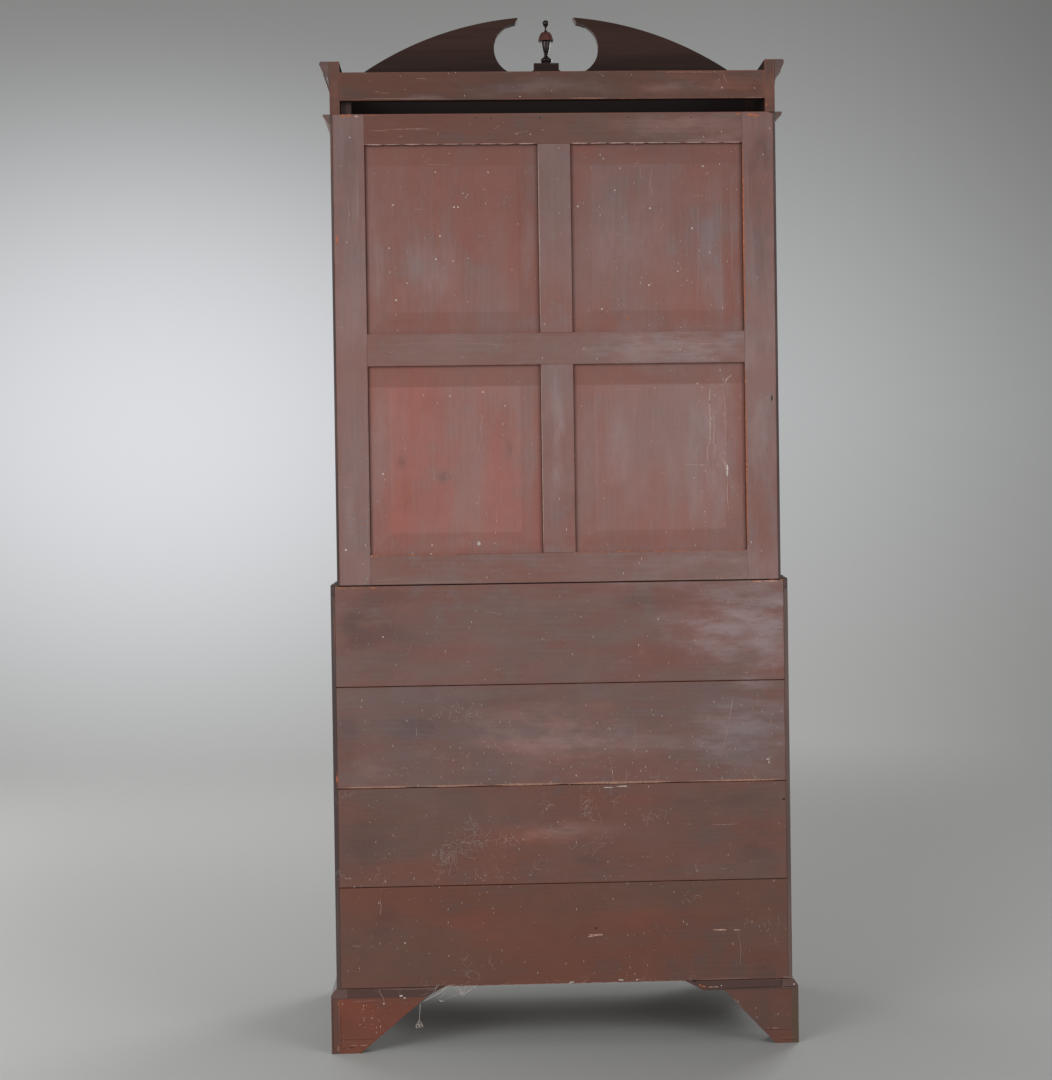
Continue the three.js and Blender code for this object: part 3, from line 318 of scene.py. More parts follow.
# Stains: colour, greatest share, then ellipses in the photograph by centre, half width and half height
STAINS = [
    ("#46393a", 0.32, [
        (352, 618, 34, 16), (380, 600, 60, 18), (385, 640, 60, 50), (346, 740, 22, 46), (420, 730, 60, 22),
        (520, 700, 90, 14), (360, 850, 46, 60), (386, 918, 30, 34), (590, 858, 26, 14), (760, 850, 40, 40),
        (650, 596, 60, 10), (752, 745, 40, 26), (560, 610, 40, 10), (452, 96, 90, 6), (660, 86, 60, 7),
        (350, 90, 40, 9), (520, 84, 120, 7), (509, 452, 10, 16), (401, 462, 10, 12), (443, 475, 12, 8),
        (756, 160, 12, 50), (770, 960, 26, 40), (355, 640, 26, 40), (350, 160, 10, 40), (712, 800, 90, 14),
        (478, 790, 60, 8), (762, 150, 10, 40), (660, 152, 60, 8), (758, 225, 16, 110),
    ]),
    ("#7f463a", 0.26, [
        (470, 645, 70, 18), (440, 655, 90, 14), (640, 650, 60, 20), (560, 640, 50, 20), (520, 840, 80, 30),
        (640, 800, 60, 18), (640, 918, 80, 26), (480, 930, 70, 26), (450, 158, 80, 9), (650, 152, 80, 8),
        (685, 230, 8, 90), (520, 210, 14, 60), (440, 400, 60, 40), (500, 420, 34, 60), (640, 378, 80, 8),
        (420, 500, 40, 40), (590, 540, 120, 10), (410, 322, 60, 8), (337, 240, 5, 50), (377, 1020, 40, 36),
        (480, 130, 60, 8), (700, 610, 50, 10), (520, 745, 60, 14), (738, 84, 40, 10), (346, 225, 16, 110),
    ]),
    # Grey bloom, partly painted sheen
    ("#958a8c", 0.25, [
        (766, 600, 40, 12), (768, 618, 50, 10), (748, 634, 100, 80), (748, 620, 90, 90),
        (750, 638, 90, 54), (670, 350, 140, 40), (680, 350, 120, 36), (730, 450, 12, 90),
        (712, 450, 34, 90), (735, 240, 8, 90), (374, 240, 18, 90), (376, 450, 20, 100), (529, 240, 9, 60),
        (525, 450, 18, 90), (588, 450, 18, 90), (742, 735, 90, 60), (750, 730, 60, 50),
        (680, 566, 140, 30), (690, 128, 120, 30), (690, 130, 90, 30), (764, 450, 12, 90),
        (557, 450, 11, 90),
    ]),
    ("#6f6768", 0.34, [
        (716, 240, 26, 90), (712, 240, 34, 90), (758, 225, 16, 100), (346, 225, 16, 90),
        (580, 158, 60, 12), (690, 158, 60, 12),
    ]),
    ("#8c5a4b", 0.45, [
        (690, 86, 110, 24), (770, 86, 14, 34), (690, 130, 110, 24), (334, 86, 10, 34), (560, 735, 110, 50),
        (337, 1020, 6, 50), (560, 835, 70, 30),
    ]),
    # Grey bloom, partly painted sheen
    ("#948282", 0.24, [
        (378, 250, 7, 70), (357, 205, 5, 50), (388, 425, 7, 50), (715, 240, 26, 90), (640, 240, 70, 60),
        (430, 270, 50, 50), (670, 348, 80, 10), (558, 440, 10, 80), (700, 450, 30, 70), (620, 450, 30, 60),
        (772, 616, 24, 30), (745, 620, 60, 46), (700, 620, 70, 30), (640, 740, 120, 24),
        (370, 765, 36, 14), (750, 680, 40, 14), (352, 520, 10, 60), (755, 420, 10, 90), (480, 545, 60, 10),
        (560, 735, 90, 20), (570, 830, 90, 16), (540, 735, 110, 54), (550, 87, 100, 14), (690, 88, 60, 8),
        (420, 100, 60, 6), (752, 250, 8, 80),
    ]),
]
STAIN_DEPTH = 0.08
MM_PER_PIXEL = 2.22


def stains_on(low, high):
    """Every stain that reaches a board's box, as colour, share, centre and radii."""
    found = []
    for colour, share, places in STAINS:
        for u, v, half_u, half_v in places:
            centre = on_back_plane((u, v))
            radii = (half_u * MM_PER_PIXEL * MM, STAIN_DEPTH, half_v * MM_PER_PIXEL * MM)
            inside_x = low.x - radii[0] < centre.x < high.x + radii[0]
            inside_z = low.z - radii[2] < centre.z < high.z + radii[2]
            if inside_x and inside_z:
                found.append((colour, share, centre, radii))
    return found


def new_material(name):
    material = bpy.data.materials.new(name)
    material.use_nodes = True
    return material, Graph(material.node_tree)


def dress(material, graph, height, relief, **values):
    """Feeds the material's shader, and its relief. A name has _ where the socket's has a space."""
    shader = material.node_tree.nodes["Principled BSDF"]
    for name, value in values.items():
        graph.feed(shader.inputs[name.replace("_", " ")], value)
    distance, strength = RELIEFS[relief]
    made = graph.node("Bump", Strength=strength, Distance=distance, Height=height)
    graph.feed(shader.inputs["Normal"], made.outputs[0])
    return material


# The woods' colours, lengths and fades
RING_PITCH = 13 * MM
RING_BEND = 46.0
KNOT_COLOUR = "#3a2520"
WORN_COLOUR = "#74493c"
# Painted shade in the gaps beside the panels: its colour and width
GAP_SHADE_COLOUR = "#35241f"
GAP_SHADE_WIDTH = 2.8 * MM
BEVEL_COLOUR = "#71493f"
BEVEL_WIDTH = 46 * MM
BEVEL_FADE, TOP_BEVEL_FADE = (2 * MM, 1 * MM), (4 * MM, 2 * MM)
WORN_WIDTH = 4 * MM
REAR_EDGE_Y = (BACK_Y - 1.2 * MM, BACK_Y - 0.4 * MM)
OUTER_FADE = (1.2 * MM, 0.6 * MM)
BAND_FADE, FRONT_FADE, DOME_FADE, INSIDE_FADE = 1 * MM, 0.5 * MM, 1 * MM, 0.5 * MM
# Depth and strength
RELIEFS = {
    "pine": (0.35 * MM, 0.16), "polish": (0.25 * MM, 0.18), "bare_wood": (0.4 * MM, 0.2),
    "glass": (1.0 * MM, 0.12), "metal": (0.1 * MM, 0.2), "finial": (0.1 * MM, 0.15),
    "mottled": (0.2 * MM, 0.3), "leather": (0.2 * MM, 0.5),
}
# Painted shade towards the top of the back: the heights over which it comes in, and the share of colour left
# at the top
TOP_SHADE_HEIGHTS, TOP_SHADE_FACTOR = (1.6, 2.06), 0.80
# Near black for painted shade, inside the cornice and on the pediment's back
PAINTED_SHADE_COLOUR = "#1b110f"
# Dark, middle and light
MAHOGANY = ("#34150d", "#5a2b1b", "#7c4528")
WANDER = 0.05


def grain_noise(graph, grain, across, along, seed, **settings):
    """Noise stretched along the grain, "x" or "z"."""
    scale = (along, across, across) if grain == "x" else (across, across, along)
    return graph.noise(graph.stretch(graph.place(), scale, (seed, seed * 0.7, seed * 1.3)), **settings)


def beyond_middle(graph, place, low, high, axis):
    """How far a point is past the nearer of two planes, below zero between them."""
    offset = graph.maths("SUBTRACT", place[axis], (low[axis] + high[axis]) / 2)
    return graph.maths("SUBTRACT", graph.maths("ABSOLUTE", offset), (high[axis] - low[axis]) / 2)


def rim(graph, low, high, width):
    """1 at the edges of a rectangle in X and Z, and 0 from the given width inwards."""
    place = graph.axes()
    sides = [beyond_middle(graph, place, low, high, axis) for axis in (0, 2)]
    return graph.remap(graph.maths("MAXIMUM", *sides), -width, 0.0)


def panel_edges(graph, colour, low, high):
    """Painted shade in the gaps beside a panel, and its bevels a little redder than its field."""
    place = graph.axes()
    level = [beyond_middle(graph, place, low, high, axis) for axis in (0, 2)]
    nearest = graph.maths("MAXIMUM", *level)
    bevel = graph.remap(nearest, -BEVEL_WIDTH - BEVEL_FADE[0], -BEVEL_WIDTH + BEVEL_FADE[1], 0.0, 0.22)
    top = high.z - BEVEL_WIDTH
    upper = graph.remap(place[2], top - TOP_BEVEL_FADE[0], top + TOP_BEVEL_FADE[1], 0.0, 0.55)
    colour = graph.mix(graph.maths("MAXIMUM", bevel, upper), colour, BEVEL_COLOUR)
    gap_shade = graph.remap(level[0], -GAP_SHADE_WIDTH, -0.3 * GAP_SHADE_WIDTH, 0.0, 0.8)
    return graph.mix(gap_shade, colour, GAP_SHADE_COLOUR)


def growth_rings(graph, place, grain, seed):
    """Fine dark and light lines along the grain, bent into long flames by a slow noise."""
    across = graph.axes(place)[0 if grain == "z" else 2]
    slow = grain_noise(graph, grain, 4.0, 0.9, seed, detail=1.5, roughness=0.5)
    phase = graph.maths("ADD", graph.times(across, 2 * math.pi / RING_PITCH), seed)
    phase = graph.maths("ADD", phase, graph.times(slow, RING_BEND))
    return graph.maths("SINE", phase)


# Stained pine of the back: thin red-brown stain over grain, grey bloom that is partly painted sheen, rubs and
# worn edges, and painted shade towards the top, beside the panels and inside the cornice
def back_pine(node, grain, seed, base, warm, cool, opening=None, bands=(), inside_shade=False, outside=1.0):
    material, graph = new_material(node)
    low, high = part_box(node)
    place = graph.place()
    broad = grain_noise(graph, grain, 6.0, 2.2, seed, detail=3.0)
    streak = grain_noise(graph, grain, 26.0, 4.5, seed, detail=4.0, roughness=0.6)
    fibre = grain_noise(graph, grain, 300.0, 30.0, seed, detail=3.0, roughness=0.7, distortion=0.6)
    cloud = graph.noise(place, 12.0, 5.0, 0.66)
    colour = graph.mix(graph.remap(broad, 0.36, 0.66, 0.0, 0.7), base, warm)
    colour = graph.mix(graph.remap(streak, 0.46, 0.68, 0.0, 0.22), colour, warm)
    colour = graph.mix(graph.remap(streak, 0.52, 0.32, 0.0, 0.24), colour, cool)
    colour = graph.mix(graph.remap(cloud, 0.52, 0.72, 0.0, 0.5), colour, cool)
    moved = wandering(graph, place)
    smear = grain_noise(graph, grain, 26.0, 8.0, seed, detail=5.0, roughness=0.66)
    patchy = graph.remap(smear, 0.32, 0.62, 0.25, 1.0)
    ragged = graph.times(graph.maths("SUBTRACT", smear, 0.52), 1.1)
    for stain, share, centre, radii in stains_on(low, high):
        near = graph.maths("ADD", graph.spot(moved, centre, radii), ragged)
        mask = graph.remap(near, 0.05, 1.0, 0.0, share)
        colour = graph.mix(graph.times(mask, patchy), colour, stain)
    rings = growth_rings(graph, place, grain, seed)
    dark_rings = graph.times(graph.remap(rings, 0.1, 1.0, 0.0, 0.06), graph.remap(cloud, 0.42, 0.62))
    colour = graph.mix(dark_rings, colour, KNOT_COLOUR)
    fine_shade = graph.remap(fibre, 0.25, 0.75, 0.965, 1.035)
    shade = graph.times(fine_shade, graph.remap(cloud, 0.2, 0.8, 1.06, 0.94))
    # Painted shade: the wood darker towards the top of the back, where the light falls off
    top_shade = graph.remap(graph.axes(place)[2], *TOP_SHADE_HEIGHTS, 1.0, TOP_SHADE_FACTOR)
    colour = graph.shaded(colour, graph.times(shade, top_shade))
    worn = graph.times(rim(graph, low, high, WORN_WIDTH), graph.remap(cloud, 0.42, 0.62, 0.1, 0.7))
    colour = graph.mix(worn, colour, WORN_COLOUR)
    if opening:
        colour = panel_edges(graph, colour, *opening)
    for *band, band_colour in bands:
        colour = graph.mix(band_mask(graph, place, *band), colour, band_colour)
    # Painted shade on the faces inside the cornice
    if inside_shade:
        colour = graph.mix(inside_mask(graph, place), colour, PAINTED_SHADE_COLOUR)
    finished = finished_mask(graph, place, outside)
    rough = graph.times(graph.remap(streak, 0.3, 0.7, 0.50, 0.70), graph.remap(finished, 0.0, 1.0, 1.0, 0.55))
    colour = graph.mix(finished, colour, mahogany_figure(graph, grain, seed)[0])
    height = graph.maths("ADD", fibre, graph.times(rings, 0.12))
    return dress(material, graph, height, "pine", Base_Color=colour, Roughness=rough, Specular_IOR_Level=0.22)


def wandering(graph, place):
    """The place, moved about by a slow noise so that no stain is a plain ellipse."""
    wobble = graph.node("TexNoise", place, None, 7.0, 4.0)
    shifted = graph.node("VectorMath", wobble.outputs["Color"], (0.5, 0.5, 0.5), operation="SUBTRACT")
    scaled = graph.node("VectorMath", shifted.outputs[0], (WANDER, 0.0, WANDER), operation="MULTIPLY")
    return graph.node("VectorMath", place, scaled.outputs[0], operation="ADD").outputs[0]


def band_mask(graph, place, axis, low, high):
    """1 between two places along an axis, such as on the end grain of a side board."""
    offset = graph.maths("ABSOLUTE", graph.maths("SUBTRACT", graph.axes(place)[axis], (low + high) / 2))
    half = (high - low) / 2
    return graph.remap(offset, half, half - BAND_FADE, 0.0, 0.85)


def finished_mask(graph, place, outside):
    """1 on faces that look to the front, and on outer faces from the given half width of the case."""
    across, depth, _ = graph.axes(place)
    outer = graph.remap(graph.maths("ABSOLUTE", across), *(outside - fade for fade in OUTER_FADE))
    outer = graph.times(outer, graph.remap(depth, *REAR_EDGE_Y[::-1]))
    return graph.maths("MAXIMUM", outer, graph.remap(graph.facing(), -0.3, -0.7))


def mahogany_figure(graph, grain, seed, scales=(9.0, 1.4), distortion=1.6):
    """The colour of polished mahogany with its streaks: broad figure and fine dark lines."""
    dark, middle, light = MAHOGANY
    broad = grain_noise(graph, grain, *scales, seed, detail=4.0, distortion=distortion)
    streak = grain_noise(graph, grain, 90.0, 2.2, seed, detail=3.0, distortion=0.4)
    colour = graph.mix(graph.remap(broad, 0.32, 0.62), dark, middle)
    colour = graph.mix(graph.remap(broad, 0.56, 0.8), colour, light)
    return graph.mix(graph.remap(streak, 0.35, 0.7, 0.35, 0.0), colour, dark), streak


CORNICE_INSIDE = 471.5 * MM
INSIDE_Y = (BACK_Y - 2 * MM, BACK_Y - 12 * MM)


def inside_mask(graph, place):
    """1 on the faces inside the cornice, a little in front of the back, where painted shade goes."""
    across, depth, _ = graph.axes(place)
    between = graph.remap(graph.maths("ABSOLUTE", across), CORNICE_INSIDE, CORNICE_INSIDE - INSIDE_FADE)
    return graph.times(between, graph.remap(depth, *INSIDE_Y, 0.0, 0.9))


# Base, warm and cool tones of the back's woods
# Partly painted light: the lower panels are lighter, and the top rail and lower boards darker, as the light
# is brightest at middle height
FRAME_TONES = ("#7f6561", "#80534a", "#816f6e")
MIDDLE_TONES = ("#795c56", "#7b5148", "#7c6b69")
TOP_TONES = ("#6c4e45", "#704439", "#6a5854")
PANEL_TONES = ("#7f605b", "#84534a", "#7e6c6a")
LOW_LEFT_TONES = ("#8c6660", "#95584d", "#8a7370")
LOW_RIGHT_TONES = ("#856863", "#8b5850", "#84726f")
CORNICE_TONES = ("#5c4239", "#644034", "#5c4d49")
WARM_FOOT_TONES = ("#6e4335", "#793f2f", "#604a43")
DARK_FOOT_TONES = ("#63463d", "#6a4237", "#584a45")
BOARD_TONES = {
    "bureau_back_board_1": ("#6f5752", "#784d44", "#736562"),
    "bureau_back_board_2": ("#6c5753", "#755047", "#6f6362"),
    "bureau_back_board_3": ("#684e47", "#71483c", "#645350"),
    "bureau_back_board_4": ("#64483e", "#6e4337", "#5d4e4a"),
}


def paint(node, material, slot):
    piece = NODES[node]
    piece.data.materials.clear()
    piece.data.materials.append(material)
    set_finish(piece, slot)


def panel_opening(node):
    """The corners of the opening in which a panel of the back shows."""
    on_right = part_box(node)[1].x > 0
    row = "upper" if "upper" in node else "lower"
    muntin_low, muntin_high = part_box(f"back_muntin_{row}")
    stile_low, stile_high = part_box("back_stile_right" if on_right else "back_stile_left")
    under, over = ("middle", "top") if row == "upper" else ("bottom", "middle")
    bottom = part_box(f"back_rail_{under}")[1].z
    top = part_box(f"back_rail_{over}")[0].z
    if on_right:
        return Vector((muntin_high.x, 0, bottom)), Vector((stile_low.x, 0, top))
    return Vector((stile_high.x, 0, bottom)), Vector((muntin_low.x, 0, top))


PANELS = {
    "back_panel_upper_right": PANEL_TONES, "back_panel_upper_left": PANEL_TONES,
    "back_panel_lower_right": LOW_LEFT_TONES, "back_panel_lower_left": LOW_RIGHT_TONES,
}
UPRIGHTS = ["back_stile_right", "back_stile_left", "back_muntin_upper", "back_muntin_lower"]
RAILS = {"back_rail_top": TOP_TONES, "back_rail_middle": MIDDLE_TONES, "back_rail_bottom": MIDDLE_TONES}
CORNICE_PARTS = ["cornice_rear_rail", "cornice_side_left", "cornice_side_right"]
FOOT_BAND = (2, 121.5 * MM, 146 * MM, "#4d3a36")
FOOT_END_GRAIN = (0, 503.5 * MM, 530 * MM, "#5b423a")
FOOT_WORN_END = (0, -530 * MM, -505 * MM, "#58483c")
FOOT_TONES = {"foot_rear_right": WARM_FOOT_TONES, "foot_rear_left": DARK_FOOT_TONES}
FOOT_ENDS = {"foot_rear_right": FOOT_END_GRAIN, "foot_rear_left": FOOT_WORN_END}


def special(node):
    """What a piece's wood has of its own: a panel's opening, painted shade inside the cornice, bands on the
    feet.
    """
    if node in PANELS:
        return {"opening": panel_opening(node)}
    if node in CORNICE_PARTS:
        return {"inside_shade": True, "outside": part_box("cornice_side_right")[1].x}
    if node in FOOT_TONES:
        return {"bands": (FOOT_ENDS[node], FOOT_BAND), "outside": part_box("foot_rear_right")[1].x}
    return {}


def paint_back():
    """Paints each kind of piece. Seeds start at the first number and go up by the second."""
    for tones_of, grain, slot, first, step in (
        (dict.fromkeys(UPRIGHTS, FRAME_TONES), "z", "back_frame_pine", 0, 3.1),
        (PANELS, "z", "back_frame_pine", 20, 5.3),
        (RAILS, "x", "back_frame_pine", 50, 4.7),
        (BOARD_TONES, "x", "back_board_pine", 70, 6.1),
        (dict.fromkeys(CORNICE_PARTS, CORNICE_TONES), "x", "carcase_wood", 90, 3.7),
        (FOOT_TONES, "x", "carcase_wood", 110, 3.7),
    ):
        for number, (node, tones) in enumerate(tones_of.items()):
            paint(node, back_pine(node, grain, first + step * number, *tones, **special(node)), slot)


# Polished mahogany: dark figure, open pores and a thin varnish. Each pair is the two tones of a raw edge.
RAW_EDGE = ("#3a2b29", "#59423c")
MOULDING_END = ("#54413d", "#6d524b")
BASE_END = ("#573f3b", "#6a4b45")
BUREAU_EDGES = {"right": ("#3f302e", "#5f4942"), "left": ("#52403c", "#70564f")}
PEDIMENT_BACK = ("#301d18", "#3f2a23")
PEDIMENT_SHADE_HEIGHTS = (2.315, 2.2)
PORE_COLOUR = "#260d07"


def polished(name, grain, seed=0.0, gloss=0.30, rear=RAW_EDGE, whole_rear=False, coat=0.12, shine=0.5):
    """Polished wood whose rear edges are bare. With whole_rear, all that faces back is, with painted shade
    low down and on faces turned away from straight back.
    """
    material, graph = new_material(name)
    pores = grain_noise(graph, grain, 900.0, 26.0, seed, detail=2.0)
    colour, streak = mahogany_figure(graph, grain, seed, (11.0, 1.5), 1.4)
    colour = graph.mix(graph.remap(pores, 0.62, 0.72, 0.0, 0.55), colour, PORE_COLOUR)
    raw = graph.remap(graph.axes()[1], *REAR_EDGE_Y)
    if whole_rear:
        facing = graph.facing()
        raw = graph.maths("MAXIMUM", raw, graph.remap(facing, 0.3, 0.7))
    dusty = grain_noise(graph, grain, 60.0, 3.0, seed, detail=4.0, roughness=0.65)
    bare = graph.mix(graph.remap(dusty, 0.35, 0.7, 0.0, 0.6), *rear)
    if whole_rear:
        # Painted shade: the bare back darker low down, within the cornice, and on faces turned away from
        # straight back
        bare = graph.mix(graph.remap(graph.axes()[2], *PEDIMENT_SHADE_HEIGHTS), bare, PAINTED_SHADE_COLOUR)
        bare = graph.mix(graph.remap(facing, 0.97, 0.9, 0.0, 0.6), bare, PAINTED_SHADE_COLOUR)
    rough = graph.maths("MAXIMUM", graph.remap(streak, 0.3, 0.7, gloss, gloss + 0.14), graph.times(raw, 0.6))
    return dress(
        material, graph, pores, "polish", Base_Color=graph.mix(raw, colour, bare), Roughness=rough,
        Specular_IOR_Level=shine, Coat_Weight=coat, Coat_Roughness=0.16,
    )


def plain_wood(name, grain, dark, light, seed=0.0, roughness=0.55, front_y=None):
    """Bare wood. With front_y, what lies in front of that place is polished mahogany."""
    material, graph = new_material(name)
    figure = grain_noise(graph, grain, 16.0, 1.4, seed, detail=4.0, distortion=0.8)
    fine = grain_noise(graph, grain, 380.0, 7.0, seed, detail=3.0, roughness=0.7)
    colour = graph.mix(graph.remap(figure, 0.32, 0.68), dark, light)
    colour = graph.shaded(colour, graph.remap(fine, 0.25, 0.75, 0.84, 1.10))
    rough = graph.remap(fine, 0.3, 0.7, roughness, roughness + 0.15)
    if front_y is not None:
        front = graph.remap(graph.axes()[1], front_y + FRONT_FADE, front_y - FRONT_FADE)
        colour = graph.mix(front, colour, mahogany_figure(graph, "x", seed)[0])
        rough = graph.times(rough, graph.remap(front, 0.0, 1.0, 1.0, 0.5))
    return dress(material, graph, fine, "bare_wood", Base_Color=colour, Roughness=rough)


def clear_glass():
    material, graph = new_material("window_glass")
    place = graph.place()
    rough = graph.remap(graph.noise(place, 34.0, 3.0), 0.4, 0.7, 0.0, 0.03)
    return dress(
        material, graph, graph.noise(place, 9.0, 2.0), "glass", Base_Color="#f2f7f5", Transmission_Weight=1.0,
        IOR=1.45, Roughness=rough,
    )


def metal(name, colour, tarnish, roughness=0.28):
    material, graph = new_material(name)
    place = graph.place()
    cloud = graph.noise(place, 140.0, 4.0, 0.65)
    return dress(
        material, graph, graph.noise(place, 900.0, 3.0), "metal", Metallic=1.0,
        Base_Color=graph.mix(graph.remap(cloud, 0.42, 0.66), colour, tarnish),
        Roughness=graph.remap(cloud, 0.35, 0.7, roughness, roughness + 0.2),
    )


def mottled(name, colour, other, roughness=0.7, scale=160.0, gloss=0.3, relief="mottled"):
    """A dull material that changes between two tones, such as dust, raw wood or leather."""
    material, graph = new_material(name)
    place = graph.place()
    cloud = graph.noise(place, scale, 4.0, 0.65)
    return dress(
        material, graph, graph.noise(place, scale * 5, 3.0), relief, Specular_IOR_Level=gloss,
        Base_Color=graph.mix(graph.remap(cloud, 0.35, 0.65), colour, other),
        Roughness=graph.remap(cloud, 0.3, 0.7, roughness - 0.08, roughness + 0.08),
    )


def finial_wood(low_z, high_z):
    """Black polish, with a worn red-brown dome between two heights."""
    material, graph = new_material("finial")
    place = graph.place()
    height = graph.axes(place)[2]
    cloud = graph.noise(place, 90.0, 4.0, 0.65)
    above = graph.remap(height, low_z, low_z + DOME_FADE)
    dome = graph.times(above, graph.remap(height, high_z, high_z - DOME_FADE))
    black = graph.mix(graph.remap(cloud, 0.4, 0.7), "#191210", "#2b1d19")
    red = graph.mix(graph.remap(cloud, 0.35, 0.65), "#3f201b", "#5c332a")
    rough = graph.remap(dome, 0.0, 1.0, 0.34, 0.7)
    colour = graph.mix(dome, black, red)
    return dress(material, graph, cloud, "finial", Base_Color=colour, Roughness=rough, Specular_IOR_Level=0.3)


POLISHED_UPRIGHT = polished("mahogany_upright", "z")
POLISHED_LEVEL = polished("mahogany_level", "x", seed=8.0)
BUREAU_SIDE_WOODS = {
    side: polished(f"mahogany_side_{side}", "z", seed=5.0, rear=rear)
    for side, rear in BUREAU_EDGES.items()
}
BASE_WOOD = polished("base_moulding_wood", "x", seed=9.0, rear=BASE_END)
MOULDING_WOOD = polished("moulding_wood", "x", seed=6.0, gloss=0.42, rear=MOULDING_END, coat=0.0, shine=0.3)
PEDIMENT_WOOD = polished(
    "pediment_wood", "x", seed=3.0, gloss=0.42, rear=PEDIMENT_BACK, whole_rear=True, coat=0.0, shine=0.15,
)
BUREAU_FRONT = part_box("bureau_bottom")[0].y
FRONT_EDGE = 9 * MM
DRAWER_TONES, INTERIOR_TONES = ("#6e4a34", "#8a6146"), ("#6d4327", "#93643c")
CARCASE_WOOD = plain_wood("carcase_pine", "x", "#5a3d31", "#735243", front_y=BUREAU_FRONT + FRONT_EDGE)
BED_WOOD = plain_wood(
    "bed_wood", "x", *INTERIOR_TONES, roughness=0.4, front_y=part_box("writing_bed")[0].y + FRONT_EDGE,
)
# The bookcase's top, inside the cornice, nearly black
DARK_BOOKCASE_TOP = plain_wood("dark_bookcase_top", "x", "#1c1412", "#2b211d", seed=4.0, roughness=0.8)
INTERIOR_WOOD = plain_wood("interior_wood", "x", *INTERIOR_TONES, roughness=0.4)
TURNED_WOOD = plain_wood("turned_wood", "z", "#3a1a10", "#5a2c1b", seed=5.0, roughness=0.2)
GLASS = clear_glass()
BRASS = metal("brass", "#b08d4c", "#6f5630")
GILT = metal("gilt_line", "#a8853f", "#7a5f2e", 0.4)
KEYHOLE_SHADE = mottled("keyhole_shade", "#0d0a08", "#171210", 0.8)
LEATHER = mottled("leather", "#23382b", "#31473a", 0.5, 60.0, 0.4, "leather")
DUST = mottled("dust", "#c9c1bb", "#a2948d", 0.9, gloss=0.1)
# Pale rubs and scratches, and the painted highlight along the upper panels' tops
PALE_RUB_AND_HIGHLIGHT = mottled("pale_rub_and_highlight", "#a58c85", "#94776f", 0.8, gloss=0.2)
RAW_WOOD = mottled("raw_wood", "#a8674a", "#8a4c35", 0.75)
PALE_WOOD = mottled("pale_raw_wood", "#ad8d7f", "#946e60", 0.75)
COBWEB = mottled("cobweb", "#b5a69f", "#96867f", 0.9, gloss=0.1)
TAN_EDGE = mottled("tan_edge", "#a17a68", "#876457", 0.75)
BURNT_EDGE = mottled("orange_edge", "#c07a48", "#9a5b38", 0.75)
SHADOW_DARK = mottled("dark_gap", "#17100e", "#231816", 0.85, gloss=0.1)
NAIL_DARK = mottled("nail_rust", "#1f1614", "#3a241c", 0.6)
GLUE_BLOCK_WOOD = plain_wood("glue_block", "z", "#2c201d", "#4a3833", seed=7.0, roughness=0.8)
DRAWERS = [f"drawer_{number}" for number in range(1, 5)]
SMALL_DRAWERS = [f"interior_drawer_{number}" for number in range(1, 5)]
DRAWER_FRONT = 20 * MM


def paint_rest():
    front_y = BUREAU_FRONT + DRAWER_FRONT
    for number, node in enumerate(DRAWERS):
        paint(node, plain_wood(node, "x", *DRAWER_TONES, seed=2.3 * number, front_y=front_y), "drawer_wood")
    for side, wood in BUREAU_SIDE_WOODS.items():
        paint(f"bureau_side_{side}", wood, "polished_wood")
        paint(f"bookcase_side_{side}", POLISHED_UPRIGHT, "polished_wood")
        paint(f"door_frame_{side}", POLISHED_UPRIGHT, "polished_wood")
        paint(f"door_glass_{side}", GLASS, "window_glass")
    for slot, material, *nodes in (
        ("polished_wood", PEDIMENT_WOOD, "pediment_board"),
        ("polished_wood", BASE_WOOD, "base_moulding"),
        ("polished_wood", MOULDING_WOOD, "cornice_moulding", "neck_moulding"),
        ("carcase_wood", CARCASE_WOOD, "dustboard_1", "dustboard_2", "dustboard_3", "bureau_bottom"),
        ("carcase_wood", DARK_BOOKCASE_TOP, "bookcase_top"),
        ("interior_wood", BED_WOOD, "writing_bed"),
        ("interior_wood", INTERIOR_WOOD, "interior_fitment", "cupboard_door", *SMALL_DRAWERS),
    ):
        for node in nodes:
            paint(node, material, slot)
    for piece in NODES.values():
        if not piece.get("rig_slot"):
            paint(piece.name, POLISHED_LEVEL, "polished_wood")


EDGE_WIDTH, FRAME_EDGE_WIDTH = 0.8 * MM, 0.25 * MM
EDGE_ANGLE = math.radians(28)
WELD_REACH = 0.02 * MM


def soften(piece, width):
    """A small round on every arris."""
    bevel = piece.modifiers.new("soft_edges", "BEVEL")
    bevel.width = width
    bevel.segments = 2
    bevel.limit_method = "ANGLE"
    bevel.angle_limit = EDGE_ANGLE
    bevel.harden_normals = True


def soften_edges():
    """Rounds the wood's edges, as planes and wear leave them."""
    for piece in NODES.values():
        if "glass" in piece.name:
            continue
        weld = piece.modifiers.new("weld", "WELD")
        weld.merge_threshold = WELD_REACH
        soften(piece, FRAME_EDGE_WIDTH if piece.name.startswith("back_") else EDGE_WIDTH)


# Pieces made here. Each bit is a closed shell, and bits of one material on one body make one piece.
def loft(rings):
    """A closed shell through rings of points."""
    count, last = len(rings[0]), (len(rings) - 1) * len(rings[0])
    faces = [list(range(count)), list(range(last, last + count))]
    for start in range(0, last, count):
        for corner in range(count):
            following = (corner + 1) % count
            low, next_low = start + corner, start + following
            faces.append([low, next_low, next_low + count, low + count])
    return [point for ring in rings for point in ring], faces


def rectangle(low_x, high_x, low_up, high_up, inset=0.0):
    """The corners of a rectangle, in order round it."""
    return [
        (low_x + inset, low_up + inset), (high_x - inset, low_up + inset),
        (high_x - inset, high_up - inset), (low_x + inset, high_up - inset),
    ]


